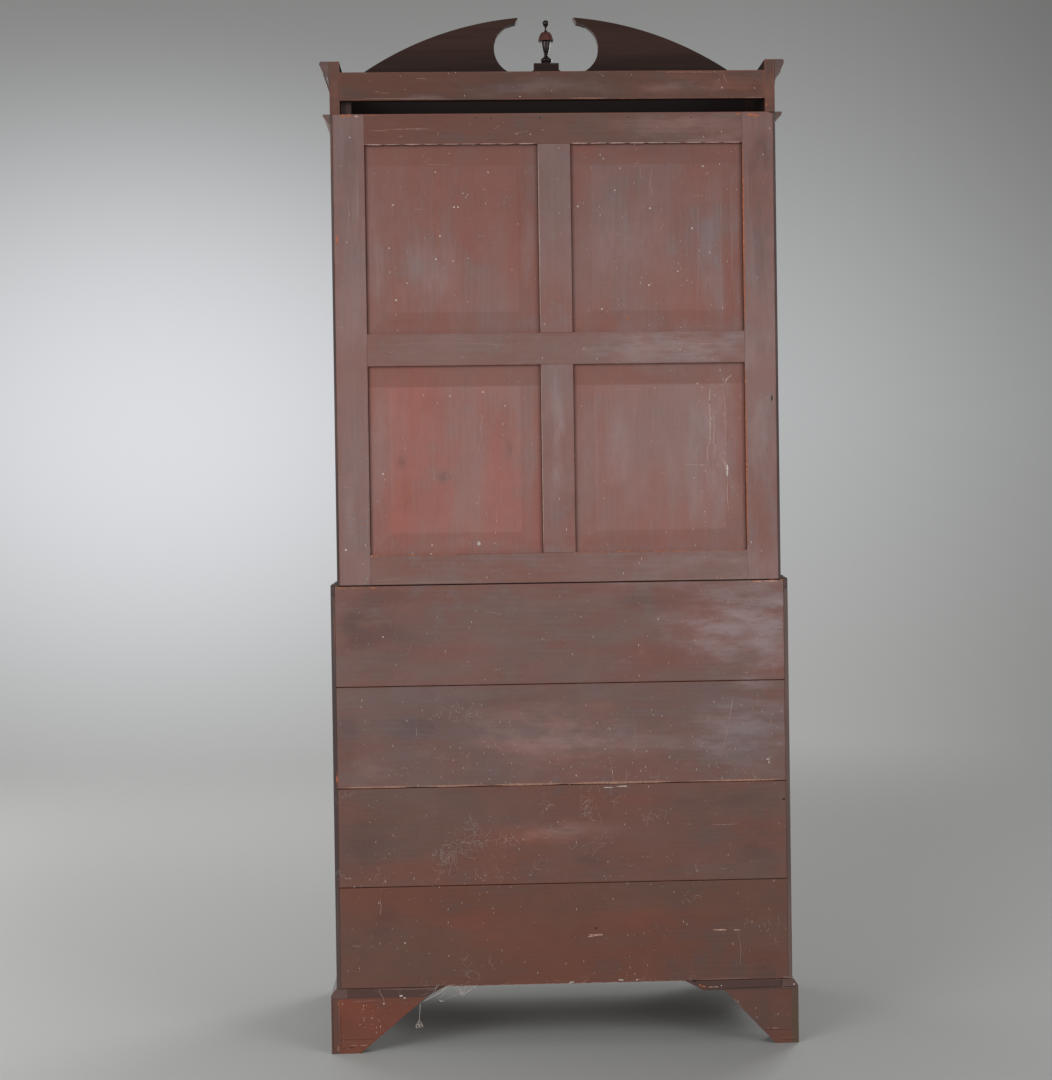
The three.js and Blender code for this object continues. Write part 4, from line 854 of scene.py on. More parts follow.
def add_piece(name, body, slot, material, shells, smooth=True, edge=0.0):
    made = bmesh.new()
    for points, faces in shells:
        corners = [made.verts.new(point) for point in points]
        for face in faces:
            made.faces.new([corners[corner] for corner in face])
    bmesh.ops.recalc_face_normals(made, faces=made.faces)
    mesh = bpy.data.meshes.new(name)
    made.to_mesh(mesh)
    made.free()
    mesh.materials.append(material)
    for face in mesh.polygons:
        face.use_smooth = smooth
    piece = bpy.data.objects.new(name, mesh)
    bpy.context.scene.collection.objects.link(piece)
    if edge:
        soften(piece, edge)
    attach(piece, body)
    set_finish(piece, slot)
    return piece


def block(low, high):
    """A closed box between two corners."""
    corners = rectangle(low[0], high[0], low[1], high[1])
    return loft([[Vector((x, y, z)) for x, y in corners] for z in (low[2], high[2])])


def smooth_line(points, steps):
    """More points along a line of plain pairs, on a Catmull-Rom curve."""
    line = []
    for index in range(len(points) - 1):
        before, start, end, after = (
            Vector(points[max(0, min(len(points) - 1, index + offset))]) for offset in (-1, 0, 1, 2)
        )
        for step in range(steps):
            t = step / steps
            line.append(0.5 * (
                2 * start + (end - before) * t + (2 * before - 5 * start + 4 * end - after) * t ** 2
                + (3 * start - before - 3 * end + after) * t ** 3
            ))
    return line + [Vector(points[-1])]


LATHE_SIDES = 48
UP = Vector((0, 0, 1))


def lathe(profile, place, axis, sides=LATHE_SIDES):
    """A turned solid. Its profile is pairs of radius and height along the axis."""
    turn = UP.rotation_difference(Vector(axis)).to_matrix()
    rings = []
    for radius, height in profile:
        ring = []
        for side in range(sides):
            angle = 2 * math.pi * side / sides
            point = Vector((radius * math.cos(angle), radius * math.sin(angle), height))
            ring.append(Vector(place) + turn @ point)
        rings.append(ring)
    return loft(rings)


FRONTWARDS = (0, -1, 0)
CENTRE_LINE = 0.0
TINY = 0.05 * MM


# Finial
FINIAL_PLACE = Vector((0, -0.040, 2.2607))
FINIAL_RADIUS, FINIAL_HEIGHT = 18.5 * MM, 103.8 * MM
BALL_RADIUS, BALL_CENTRE_SHARE = 7.8 * MM, 0.925
DOME_SHARES = (0.509, 0.72)
BALL_STEPS, BALL_BURIED_STEPS, CURVE_STEPS = 18, 3, 4
FINIAL_SHARES = [
    [[0.54, 0.0], [0.56, 0.008], [0.54, 0.018]],
    [[0.60, 0.022], [0.70, 0.042], [0.76, 0.072], [0.70, 0.098], [0.49, 0.131], [0.28, 0.166], [0.22, 0.197]],
    [[0.30, 0.204], [0.31, 0.212], [0.26, 0.222]],
    [[0.24, 0.226], [0.38, 0.279], [0.50, 0.356], [0.57, 0.443], [0.59, 0.505]],
    [[0.97, 0.509], [1.0, 0.520], [0.98, 0.540], [0.89, 0.597], [0.77, 0.655], [0.66, 0.688], [0.54, 0.713]],
    [[0.27, 0.726], [0.16, 0.761], [0.12, 0.80], [0.19, 0.838]],
]


def add_finial():
    profile = [[TINY, 0.0]]
    for stretch in FINIAL_SHARES:
        profile += [[r * FINIAL_RADIUS, h * FINIAL_HEIGHT] for r, h in smooth_line(stretch, CURVE_STEPS)]
    ball = BALL_CENTRE_SHARE * FINIAL_HEIGHT
    for step in range(BALL_BURIED_STEPS, BALL_STEPS + 1):
        angle = math.pi * step / BALL_STEPS
        profile.append([max(BALL_RADIUS * math.sin(angle), TINY), ball - BALL_RADIUS * math.cos(angle)])
    wood = finial_wood(*(FINIAL_PLACE.z + share * FINIAL_HEIGHT for share in DOME_SHARES))
    shell = lathe(profile, FINIAL_PLACE, UP)
    piece = add_piece("turned_finial", "carcase", "dark_turned_wood", wood, [shell])
    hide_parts("finial")


# Knobs, turned smooth over the solids of the CAD
KNOB_SHARES = [
    [[0.72, 0.0], [0.74, 0.05], [0.70, 0.11]],
    [[0.46, 0.16], [0.36, 0.24], [0.33, 0.36], [0.45, 0.47], [0.80, 0.58], [0.97, 0.68], [1.0, 0.77],
     [0.95, 0.87], [0.82, 0.945]],
    [[0.74, 0.95], [0.45, 0.985], [0.12, 1.0]],
]
KNOB_SKIN = 0.35 * MM
KNOB_BURIED = 1 * MM


def knob_shell(place, radius, reach):
    profile = [[TINY, -KNOB_BURIED], [KNOB_SHARES[0][0][0] * radius, -KNOB_BURIED]]
    for stretch in KNOB_SHARES:
        for r, h in smooth_line(stretch, CURVE_STEPS):
            profile.append([r * radius + KNOB_SKIN, h * (reach + KNOB_SKIN)])
    profile.append([TINY, reach + KNOB_SKIN])
    return lathe(profile, place, FRONTWARDS)


FITMENT_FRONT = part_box("interior_fitment")[0].y
DRAWER_KNOB_X = 273.3 * MM
DRAWER_KNOB_Z = {"drawer_1": 0.6977, "drawer_2": 0.5717, "drawer_3": 0.4182, "drawer_4": 0.2452}
SMALL_KNOB_X = {
    "interior_drawer_1": -0.3828, "interior_drawer_2": -0.1789,
    "interior_drawer_3": 0.1789, "interior_drawer_4": 0.3828,
}
SMALL_KNOB_Z = 0.80125
LOPER_KNOB = (0.4755, 0.6982)
CUPBOARD_KNOB = (0.0618, 0.8898)
# Radius and reach
KNOB_SIZE, LOPER_KNOB_SIZE, SMALL_KNOB_SIZE = (19 * MM, 28 * MM), (8 * MM, 16 * MM), (7 * MM, 13 * MM)


def add_knobs():
    for body, z in DRAWER_KNOB_Z.items():
        shells = [knob_shell((x, BUREAU_FRONT, z), *KNOB_SIZE) for x in (-DRAWER_KNOB_X, DRAWER_KNOB_X)]
        add_piece(f"{body}_knobs", body, "dark_turned_wood", TURNED_WOOD, shells)
    for body, x in SMALL_KNOB_X.items():
        add_brass_knob(f"{body}_knob", body, (x, FITMENT_FRONT, SMALL_KNOB_Z), SMALL_KNOB_SIZE)
    place = (CUPBOARD_KNOB[0], FITMENT_FRONT, CUPBOARD_KNOB[1])
    add_brass_knob("cupboard_knob", "cupboard_door", place, SMALL_KNOB_SIZE)
    for body, side in (("loper_right", 1), ("loper_left", -1)):
        place = (side * LOPER_KNOB[0], BUREAU_FRONT, LOPER_KNOB[1])
        add_brass_knob(f"{body}_knob", body, place, LOPER_KNOB_SIZE)


def add_brass_knob(name, body, place, size):
    add_piece(name, body, "brass", BRASS, [knob_shell(place, *size)])


# Escutcheons with keyholes. A plate lies on a plane given by its centre, its side and its up direction.
PLATE_HALF = (7 * MM, 11 * MM)
PLATE_HEIGHT = 0.9 * MM
PLATE_BEVEL, PLATE_SUNK = 0.4 * MM, 0.3 * MM
KEYHOLE_RADIUS, KEYHOLE_RISE, KEYHOLE_HEIGHT = 2.1 * MM, 1.6 * MM, 0.06 * MM
KEYHOLE_SLOT, KEYHOLE_FLARE = (0.9 * MM, 6.0 * MM), 1.5
KEYHOLE_STEPS, OVAL_SIDES = 16, 40


def flat_shell(outline, place, right, up, height, inset):
    """A closed plate with a bevelled edge. It is sunk a little in what carries it."""
    normal = right.cross(up)
    rings = []
    for share, level in ((1.0, -PLATE_SUNK), (1.0, height - inset), (1.0 - inset / PLATE_HALF[0], height)):
        rings.append([place + right * x * share + up * z * share + normal * level for x, z in outline])
    return loft(rings)


def oval(half_x, half_z):
    turns = [2 * math.pi * side / OVAL_SIDES for side in range(OVAL_SIDES)]
    return [(half_x * math.cos(turn), half_z * math.sin(turn)) for turn in turns]


def keyhole_outline():
    """A round hole over a slot that widens downwards."""
    half, drop = KEYHOLE_SLOT
    gap = math.asin(half / KEYHOLE_RADIUS)
    start, sweep = gap - math.pi / 2, 2 * math.pi - 2 * gap
    turns = [start + sweep * step / KEYHOLE_STEPS for step in range(KEYHOLE_STEPS + 1)]
    outline = [
        (KEYHOLE_RADIUS * math.cos(turn), KEYHOLE_RADIUS * math.sin(turn) + KEYHOLE_RISE) for turn in turns
    ]
    return outline + [(-half * KEYHOLE_FLARE, -drop), (half * KEYHOLE_FLARE, -drop)]


def add_escutcheon(name, body, place, right, up):
    place, right, up = Vector(place), Vector(right), Vector(up)
    plate = flat_shell(oval(*PLATE_HALF), place, right, up, PLATE_HEIGHT, PLATE_BEVEL)
    add_piece(f"{name}_escutcheon", body, "brass", BRASS, [plate])
    lifted = place + right.cross(up) * PLATE_HEIGHT
    # The keyhole is a thin near-black plate: painted shade where the hole would be
    hole = flat_shell(keyhole_outline(), lifted, right, up, KEYHOLE_HEIGHT, 0.0)
    add_piece(f"{name}_keyhole", body, "brass", KEYHOLE_SHADE, [hole], smooth=False)


ACROSS = Vector((1, 0, 0))
DRAWER_KEY_DROP, FALL_KEY_DROP, DOOR_KEY_INSET = 24 * MM, 32 * MM, 9 * MM
FALL_HINGE = Vector((0, -0.2715, 0.7643))
FALL_SLOPE = math.radians(53.64)
FALL_UP = Vector((0, math.cos(FALL_SLOPE), math.sin(FALL_SLOPE)))
FALL_OUT = ACROSS.cross(FALL_UP)
FALL_THICKNESS, FALL_LENGTH = 20 * MM, 313.2 * MM
MEETING_STILE_X = 20 * MM
DOOR_KEY_Z = 1.52


def add_escutcheons():
    for node in DRAWERS:
        place = (CENTRE_LINE, BUREAU_FRONT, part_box(node)[1].z - DRAWER_KEY_DROP)
        add_escutcheon(node, node, place, ACROSS, UP)
    outside = FALL_HINGE + FALL_UP * (FALL_LENGTH - FALL_KEY_DROP) + FALL_OUT * FALL_THICKNESS
    add_escutcheon("fall", "fall", outside, ACROSS, FALL_UP)
    place = (MEETING_STILE_X + DOOR_KEY_INSET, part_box("door_frame_left")[0].y, DOOR_KEY_Z)
    add_escutcheon("right_door", "right_door", place, ACROSS, UP)


# Door hinges: knuckles on each hinge line, and small leaves for the fall
HINGE_LINE = (0.495, -0.0293)
HINGE_HEIGHTS = (1.16, 1.558, 1.96)
KNUCKLES, KNUCKLE_LENGTH, KNUCKLE_RADIUS, KNUCKLE_GROOVE = 5, 12 * MM, 2.9 * MM, 0.5 * MM
KNUCKLE_SIDES, KNUCKLE_EDGE = 20, 0.2 * MM
LEAF_HALF, LEAF_HEIGHT, LEAF_GAP = (30 * MM, 11 * MM), 0.35 * MM, 3 * MM
LEAF_BEVEL_HEIGHT, LEAF_BEVEL_INSET = 0.15 * MM, 0.2 * MM
FALL_HINGE_X = 0.36


def knuckle_profile():
    profile = [[TINY, 0.0]]
    for number in range(KNUCKLES):
        start = number * KNUCKLE_LENGTH
        profile += [
            [KNUCKLE_RADIUS - KNUCKLE_GROOVE, start], [KNUCKLE_RADIUS, start + KNUCKLE_GROOVE],
            [KNUCKLE_RADIUS, start + KNUCKLE_LENGTH - KNUCKLE_GROOVE],
            [KNUCKLE_RADIUS - KNUCKLE_GROOVE, start + KNUCKLE_LENGTH],
        ]
    return profile + [[TINY, KNUCKLES * KNUCKLE_LENGTH]]


def add_hinges():
    half = KNUCKLES * KNUCKLE_LENGTH / 2
    for side, name in ((1, "right"), (-1, "left")):
        shells = []
        for z in HINGE_HEIGHTS:
            place = (side * HINGE_LINE[0], HINGE_LINE[1], z - half)
            shells.append(lathe(knuckle_profile(), place, UP, KNUCKLE_SIDES))
        add_piece(f"{name}_door_hinges", f"{name}_door", "brass", BRASS, shells, edge=KNUCKLE_EDGE)
    leaves, beds = [], []
    for side in (-1, 1):
        line = FALL_HINGE + ACROSS * (side * FALL_HINGE_X)
        leaves.append(leaf_shell(line + FALL_UP * (LEAF_HALF[1] + LEAF_GAP), FALL_UP, -FALL_OUT))
        beds.append(leaf_shell(line + Vector((0, LEAF_HALF[1] + LEAF_GAP, 0)), Vector((0, 1, 0)), UP))
    add_piece("fall_hinge_leaves", "fall", "brass", BRASS, leaves)
    add_piece("bed_hinge_leaves", "carcase", "brass", BRASS, beds)


def leaf_shell(place, up, normal):
    half_x, half_up = LEAF_HALF
    rings = []
    for inset, level in (
        (0.0, -PLATE_SUNK), (0.0, LEAF_HEIGHT - LEAF_BEVEL_HEIGHT), (LEAF_BEVEL_INSET, LEAF_HEIGHT),
    ):
        corners = rectangle(-half_x, half_x, -half_up, half_up, inset)
        rings.append([place + ACROSS * x + up * z + normal * level for x, z in corners])
    return loft(rings)


# Leather on the fall's inner face, with a gilt line
LEATHER_HALF = (449 * MM, 97.6 * MM)
LEATHER_CENTRE = 157.2 * MM
LEATHER_FLOOR, LEATHER_FACE = 0.8 * MM, 0.25 * MM
LEATHER_BEVEL = 0.2 * MM
GILT_INSET, GILT_WIDTH, GILT_SUNK, GILT_RISE = 13 * MM, 1.1 * MM, 0.25 * MM, 0.12 * MM


def fall_point(x, up, out):
    return FALL_HINGE + ACROSS * x + FALL_UP * up + FALL_OUT * out


def fall_slab(low_x, high_x, low_up, high_up, floor, face):
    rings = []
    for out, inset in ((floor, 0.0), (face + LEATHER_BEVEL, 0.0), (face, LEATHER_BEVEL)):
        corners = rectangle(low_x, high_x, low_up, high_up, inset)
        rings.append([fall_point(x, up, out) for x, up in corners])
    return loft(rings)


def add_leather():
    half_x, half_up = LEATHER_HALF
    low, high = LEATHER_CENTRE - half_up, LEATHER_CENTRE + half_up
    slab = fall_slab(-half_x, half_x, low, high, LEATHER_FLOOR, LEATHER_FACE)
    add_piece("fall_leather", "fall", "leather", LEATHER, [slab], smooth=False)
    x, near, far, width = half_x - GILT_INSET, low + GILT_INSET, high - GILT_INSET, GILT_WIDTH
    spans = [
        (-x, x, near, near + width), (-x, x, far - width, far),
        (-x, -x + width, near + width, far - width), (x - width, x, near + width, far - width),
    ]
    lines = [fall_slab(*span, LEATHER_FACE + GILT_SUNK, LEATHER_FACE - GILT_RISE) for span in spans]
    add_piece("fall_gilt_line", "fall", "brass", GILT, lines, smooth=False)


# Marks laid on the back: strands and flecks. Places are pixels of the photograph.
CHANCE = random.Random(11)
SUNK = 0.25 * MM
STEP_PIXELS = 2.2
FLECK_HEIGHT, SPECK_HEIGHT, HAIR_HEIGHT, HAIR_WANDER = 0.3 * MM, 0.2 * MM, 0.12 * MM, 0.1
# Ranges for the draws: sizes of strands and flecks as shares, then half widths in mm and lengths in pixels
STRAND_SIZES, FLECK_SIZES, FLECK_CORNERS = (0.75, 1.15), (0.7, 1.15), (6, 10)
WEB_HALF, WEB_STEP, WEB_STEPS, WEB_TURN = (0.16, 0.32), (1.2, 3.5), (2, 6), 0.8
SCRATCH_HALF, SCRATCH_LENGTH = (0.15, 0.3), (2, 8)
STRAND_END_SHARE, STRAND_TAPER, RIDGE_SHARE = 0.15, 0.4, 0.5


def route(pixels, wander=0.0):
    """Points of the back's surface along a line of pixels, bent a little by chance."""
    found = []
    for start, end in zip(pixels, pixels[1:]):
        steps = max(2, round(math.dist(start, end) / STEP_PIXELS))
        for step in range(steps):
            share = step / steps
            found.append([a + (b - a) * share + CHANCE.uniform(-wander, wander) for a, b in zip(start, end)])
    return [on_back(pixel) for pixel in found + [pixels[-1]]]


def strips(lines, wander, height):
    """A strand for each line of width and pixels, as far as it runs on wood."""
    shells = []
    for half_width, pixels in lines:
        run = []
        for point in route(pixels, wander) + [None]:
            if point:
                run.append(point)
                continue
            if len(run) > 2:
                shells.append(strand(run, half_width, height))
            run = []
    return shells


def strand(points, half_width, height):
    """A thin closed strip along points, sunk under and ridged above, and narrow at its ends."""
    rings = []
    for index, point in enumerate(points):
        along = points[min(index + 1, len(points) - 1)] - points[max(index - 1, 0)]
        side = along.cross(BACK_NORMAL).normalized()
        swell = max(0.0, math.sin(math.pi * index / (len(points) - 1)))
        size = half_width * (STRAND_END_SHARE + (1 - STRAND_END_SHARE) * swell ** STRAND_TAPER)
        size *= CHANCE.uniform(*STRAND_SIZES)
        foot, ridge = side * size, side * size * RIDGE_SHARE
        rings.append([
            point - foot - BACK_NORMAL * SUNK, point - ridge + BACK_NORMAL * height,
            point + ridge + BACK_NORMAL * height, point + foot - BACK_NORMAL * SUNK,
        ])
    return loft(rings)


def flecks(marks, height=FLECK_HEIGHT):
    """Flakes or chips, each given by its pixel and half sizes, where there is wood for them."""
    shells = []
    for u, v, half_u, half_v in marks:
        centre = on_back((u, v))
        if centre:
            shells.append(fleck(centre, half_u, half_v, height))
    return shells


def fleck(centre, half_u, half_v, height):
    """A small uneven flake or chip. Its half sizes are in pixels of the photograph."""
    corners = CHANCE.randint(*FLECK_CORNERS)
    rim_points = []
    for corner in range(corners):
        turn = 2 * math.pi * corner / corners
        size = CHANCE.uniform(*FLECK_SIZES) * MM_PER_PIXEL * MM
        rim_points.append(Vector((half_u * size * math.cos(turn), 0, half_v * size * math.sin(turn))))
    rings = []
    for share, level in ((1.0, -SUNK), (0.9, height * 0.7), (0.45, height)):
        rings.append([centre + point * share + BACK_NORMAL * level for point in rim_points])
    return loft(rings)


# Half width in mm, then the pixels along the line as one row of numbers
PALE_LINES = [
    (2.2, 710.6, 388, 709.6, 398, 709, 406), (2.6, 709.4, 400, 710.4, 424, 709.8, 446),
    (1.8, 710, 440, 707.6, 450, 708, 463), (1.6, 714, 412, 714.6, 430, 713, 446),
    (1.4, 716, 444, 715, 452, 716.6, 461), (2.4, 732, 374.6, 726.4, 380, 724.6, 386),
    (1.2, 725.4, 388, 725, 410, 726, 448), (2.2, 722.6, 457, 725, 464, 727.4, 472),
    (1.4, 727.6, 476, 727.4, 494, 728.6, 513), (1.3, 685, 464, 699, 465, 708, 464.6),
    (0.5, 430, 156, 424, 163), (0.4, 425, 164, 450, 165), (0.7, 438, 131, 438, 137),
    (0.3, 366, 131, 400, 129, 435, 130), (0.3, 510, 134, 530, 131), (0.5, 346, 192, 349, 214, 347, 233),
    (0.4, 354, 196, 352, 226), (0.4, 357, 168, 358, 205, 356, 248), (0.4, 378, 252, 377, 285, 378, 308),
    (0.4, 391, 202, 393, 216), (0.7, 414, 209, 422, 209), (0.6, 477, 235, 486, 236),
    (0.5, 700, 165, 706, 168), (0.6, 693, 195, 705, 196), (0.4, 640, 166, 641, 180),
    (0.5, 652, 168, 650, 185, 655, 200), (0.4, 672, 172, 675, 181), (0.6, 660, 232, 664, 223, 668, 226),
    (0.5, 620, 302, 630, 309), (0.4, 697, 170, 699, 240, 697, 326), (0.4, 709, 166, 711, 250, 710, 328),
    (0.4, 722, 170, 720, 236, 723, 322), (0.35, 731, 180, 732, 260, 730, 318), (0.4, 747, 160, 748, 220),
    (0.35, 753, 240, 752, 315), (0.35, 750, 390, 751, 470), (0.4, 606, 338, 660, 336, 700, 340),
    (0.5, 640, 346, 690, 343, 738, 345), (0.4, 616, 354, 680, 358, 742, 356),
    (0.35, 390, 345, 450, 342, 520, 346), (0.9, 483, 414, 481, 428, 482, 440), (0.8, 480, 442, 478, 455),
    (0.35, 478, 458, 479, 500, 478, 540), (0.5, 476, 536, 479, 548), (0.4, 553, 401, 555, 416, 554, 430),
    (0.4, 558, 404, 557, 426), (0.5, 345, 486, 355, 489), (0.5, 344, 533, 358, 531),
    (0.5, 362, 584, 384, 580, 402, 578), (0.5, 614, 390, 628, 389, 641, 389),
    (0.6, 612, 380, 616, 388, 620, 381), (0.5, 652, 413, 653, 434), (0.35, 619, 392, 620, 430),
    (0.6, 685, 465, 712, 466), (0.5, 724, 384, 732, 373), (0.5, 710, 384, 717, 388, 724, 384),
    (0.6, 750, 430, 762, 431), (0.5, 726, 397, 727, 450), (0.5, 760, 604, 782, 600),
    (0.5, 762, 616, 784, 613), (0.5, 764, 629, 782, 627), (0.4, 770, 650, 773, 664, 775, 677),
    (0.6, 485, 611, 502, 615), (0.9, 733, 698, 731, 710, 728.4, 724),
    (0.6, 728.4, 724, 725.5, 738, 723, 750), (0.35, 633, 712, 635, 732, 637, 750),
    (0.6, 610, 756, 612, 772, 615, 785), (0.5, 626, 768, 627, 783), (0.7, 416, 726, 417, 737),
    (0.5, 645, 816, 655, 822), (0.6, 710, 825, 740, 824), (0.5, 686, 824, 692, 824),
    (0.8, 380, 898, 381, 906, 380, 916), (0.5, 738, 931, 741, 948, 740, 965), (0.6, 352, 946, 362, 946),
    (0.6, 370, 947, 375, 947), (0.5, 376, 989, 410, 989.2, 437, 988.3), (0.45, 352, 1002, 377, 1000.6),
    (0.7, 378, 988.6, 380.6, 994, 383.6, 999, 384.4, 1003.6), (0.5, 375, 989, 378, 993),
    (0.8, 687, 982.4, 693, 985.2, 698, 987.4), (0.4, 398, 985, 400, 990, 399, 995),
    (0.9, 350, 1045.4, 357, 1045.6), (0.9, 360, 1045.4, 368.5, 1045), (0.4, 344, 1049, 350, 1048),
    (0.6, 341.6, 1056.4, 359, 1056.2), (0.5, 421.5, 1006, 431, 1000.5, 441, 996),
    (0.5, 700, 979.4, 726, 978.7, 749, 978), (1.0, 782.8, 977.2, 793.6, 977),
    (0.9, 771.6, 1028, 779.3, 1027.8), (0.9, 767.4, 1028, 769, 1028), (0.9, 776.4, 1015.6, 779.6, 1012.6),
    (0.6, 732.8, 998, 741.4, 1006.8), (0.5, 777, 972, 778.6, 974), (0.5, 776.6, 978, 777.6, 980),
    (0.5, 415, 78, 427, 79), (0.5, 375, 92, 380, 91), (0.4, 378, 93, 390, 93), (0.4, 394, 129.6, 431, 128),
    (0.4, 370, 131, 388, 131), (0.5, 493, 130, 500, 124), (0.45, 363.6, 98.6, 438, 98.4),
    (0.45, 744, 97.4, 763, 97.6), (0.35, 371, 584, 470, 581.6), (0.35, 620, 579.5, 760, 577.6),
    (0.5, 600, 74, 605, 77), (0.5, 722, 73, 728, 84), (0.5, 665, 72, 725, 72), (0.5, 567, 98, 610, 98),
]
# Centre, then half width and half height
DUST_FLECKS = [
    (393, 205, 1, 1), (440, 236, 1, 1), (454, 207, 0.8, 1), (458, 207, 0.8, 0.8), (463, 193, 0.8, 0.8),
    (453, 261, 1, 1), (396, 300, 1, 1), (436, 259, 0.7, 1), (407, 283, 0.8, 0.8), (389, 248, 0.8, 0.8),
    (488, 172, 0.8, 0.8), (435, 172, 0.8, 0.8), (703, 166, 1, 1), (650, 208, 1, 0.8), (615, 190, 1, 0.8),
    (578, 206, 1.5, 1.2), (692, 228, 1, 1), (678, 271, 1, 1), (602, 309, 1.2, 1), (649, 285, 1, 1),
    (450, 396, 1, 1), (483, 392, 1, 1), (505, 406, 0.8, 1), (383, 474, 1, 1), (432, 545, 1, 1),
    (431, 554, 1, 0.8), (346, 550, 1.4, 1), (727.4, 470, 1.1, 7), (479, 543, 2, 3), (383, 637, 1, 1),
    (768, 759, 3, 0.6), (769, 762, 0.5, 2), (609, 787.4, 6, 0.45), (622, 786.3, 7, 0.6), (405, 943, 1, 1),
    (401, 996, 2.2, 1.2), (404.6, 998, 1.6, 0.9), (384, 1003.6, 1.3, 1.3), (572, 982, 2.5, 0.8),
    (621, 980, 3, 0.8), (794, 984.1, 0.9, 0.9), (779.4, 73.8, 0.8, 0.8), (769.6, 128.2, 0.7, 0.9),
    (448.6, 73.2, 0.5, 0.4), (520, 96.6, 0.7, 0.5), (516.7, 134, 0.5, 0.5), (530.3, 134.4, 0.5, 0.9),
    (350, 137.4, 0.7, 0.6), (435.4, 172, 0.5, 0.6), (488.6, 172.6, 0.5, 0.5), (722, 87.6, 0.6, 1.1),
    (721.4, 985.6, 0.7, 0.8), (717.4, 986.8, 0.6, 0.6), (637, 979.8, 1.4, 0.7), (570, 983, 1.2, 0.7),
]
RAW_LINES = [
    (0.7, 362, 115.3, 371, 115.1, 380, 115.2), (0.7, 733, 113.6, 744, 113.4),
    (0.6, 438, 166, 437, 215, 438, 264), (0.6, 728, 480, 729, 495, 728, 510),
    (0.7, 337, 770, 337.5, 782, 337, 790), (0.5, 334.6, 592, 334.8, 622, 335, 648),
    (0.6, 330, 120, 331, 150, 331, 176), (0.5, 571, 98.6, 603, 98.4), (0.4, 618, 98.4, 639, 98.2),
    (0.5, 665, 72.2, 700, 72, 719, 72.2), (0.6, 779.6, 1038, 797.6, 1037.8),
]
RAW_FLECKS = [
    (343, 116, 3.2, 1.5), (349, 115.6, 3, 1.2), (337, 240, 1.2, 5), (365, 524, 1.2, 1.4),
    (628, 318, 2.5, 1), (703.5, 986.6, 3.4, 0.9), (700, 985, 1.6, 1), (337, 780, 1.2, 4),
    (766.4, 104.6, 0.9, 2), (750, 114.6, 4, 1.3), (756, 115.6, 3, 1), (738, 114, 2, 0.9),
    (338.4, 1004, 0.9, 1.6), (338.2, 1048.6, 0.9, 3.6),
]
BURNT_LINES = [
    (0.9, 336, 588, 346, 588.2), (0.8, 349, 588.2, 364, 588), (1.3, 369, 588, 378, 588),
    (0.8, 752, 580.6, 763, 580.3), (0.9, 768, 580.2, 776, 580), (0.8, 779, 579.8, 785, 579.6),
    (0.6, 340, 116.8, 352, 116), (0.5, 747, 113.8, 758, 113.8),
]
TAN_SEAM_PIXELS, PALE_SEAM_PIXELS, SEAM_ROW = (338, 566), (566, 786), 790
LOWER_EDGE_PIXELS, LOWER_EDGE_ROW = (447, 683), 984
PALE_CHIPS = [
    (711, 987, 3.2, 0.7), (716, 986.8, 2.4, 0.6), (356.4, 116.6, 2.0, 1.3), (338.2, 1048.8, 0.7, 3.0),
    (596, 935, 8.5, 1.4), (590, 936.5, 3.5, 1), (720, 930, 9, 1.1), (737, 930, 4, 0.9),
    (757, 581.6, 6, 1.0), (771, 581.2, 8, 0.9), (726, 466, 0.9, 6),
]
DARK_FLECKS = [
    (356.4, 117, 0.8, 0.7), (476, 118, 0.8, 0.8), (491, 118, 0.8, 0.8), (540, 118, 0.9, 0.9),
    (628, 117, 0.8, 0.8), (691, 117, 0.8, 0.8), (784, 799, 1.4, 1.4), (596, 928, 1.4, 1.2),
    (694, 981, 2.6, 1.6), (772, 398, 1, 3), (613, 55, 1.2, 1.0), (771.5, 112, 3, 1.2),
    (338, 108, 0.8, 0.8),
]
DARK_LINES = [
    (0.8, 342.4, 1048.8, 349, 1047.9, 355.6, 1047), (0.8, 722.5, 988.6, 752, 987.4, 781.4, 986.2),
    (0.8, 782, 978.4, 782, 986.6), (0.9, 782, 986.7, 798, 986.5), (0.7, 782, 978.3, 794, 978.3),
    (0.8, 340.8, 1000, 341, 1030, 341.4, 1055), (0.7, 799, 990, 799.1, 1012, 799, 1036),
    (0.6, 779.6, 1039, 798, 1038.8), (0.7, 332.9, 1000, 333.1, 1030, 333.6, 1056),
]
# Centre, spread and number of the threads of a cobweb
WEBS = [
    (455, 712, 26, 9, 30), (443, 862, 9, 14, 34), (456, 848, 13, 14, 34), (473, 828, 7, 14, 24),
    (482, 841, 18, 6, 22), (510, 841, 14, 6, 12), (546, 805, 6, 10, 9), (555, 831, 14, 6, 12),
    (589, 806, 10, 12, 28), (612, 799, 4, 8, 9), (540, 866, 12, 4, 7), (588, 846, 10, 10, 12),
    (652, 816, 11, 6, 12), (489, 876, 10, 6, 10), (381, 878, 4, 12, 6), (691, 897, 10, 4, 6),
    (343, 797, 4, 5, 6), (343, 876, 4, 6, 6), (770, 928, 18, 14, 8), (478, 972, 26, 14, 14),
    (432, 988, 30, 4, 14), (560, 983, 60, 3, 18), (650, 983, 50, 3, 16), (640, 780, 60, 5, 10),
    (620, 200, 50, 30, 8), (720, 430, 16, 40, 10), (430, 640, 40, 20, 4), (700, 870, 60, 20, 8),
]
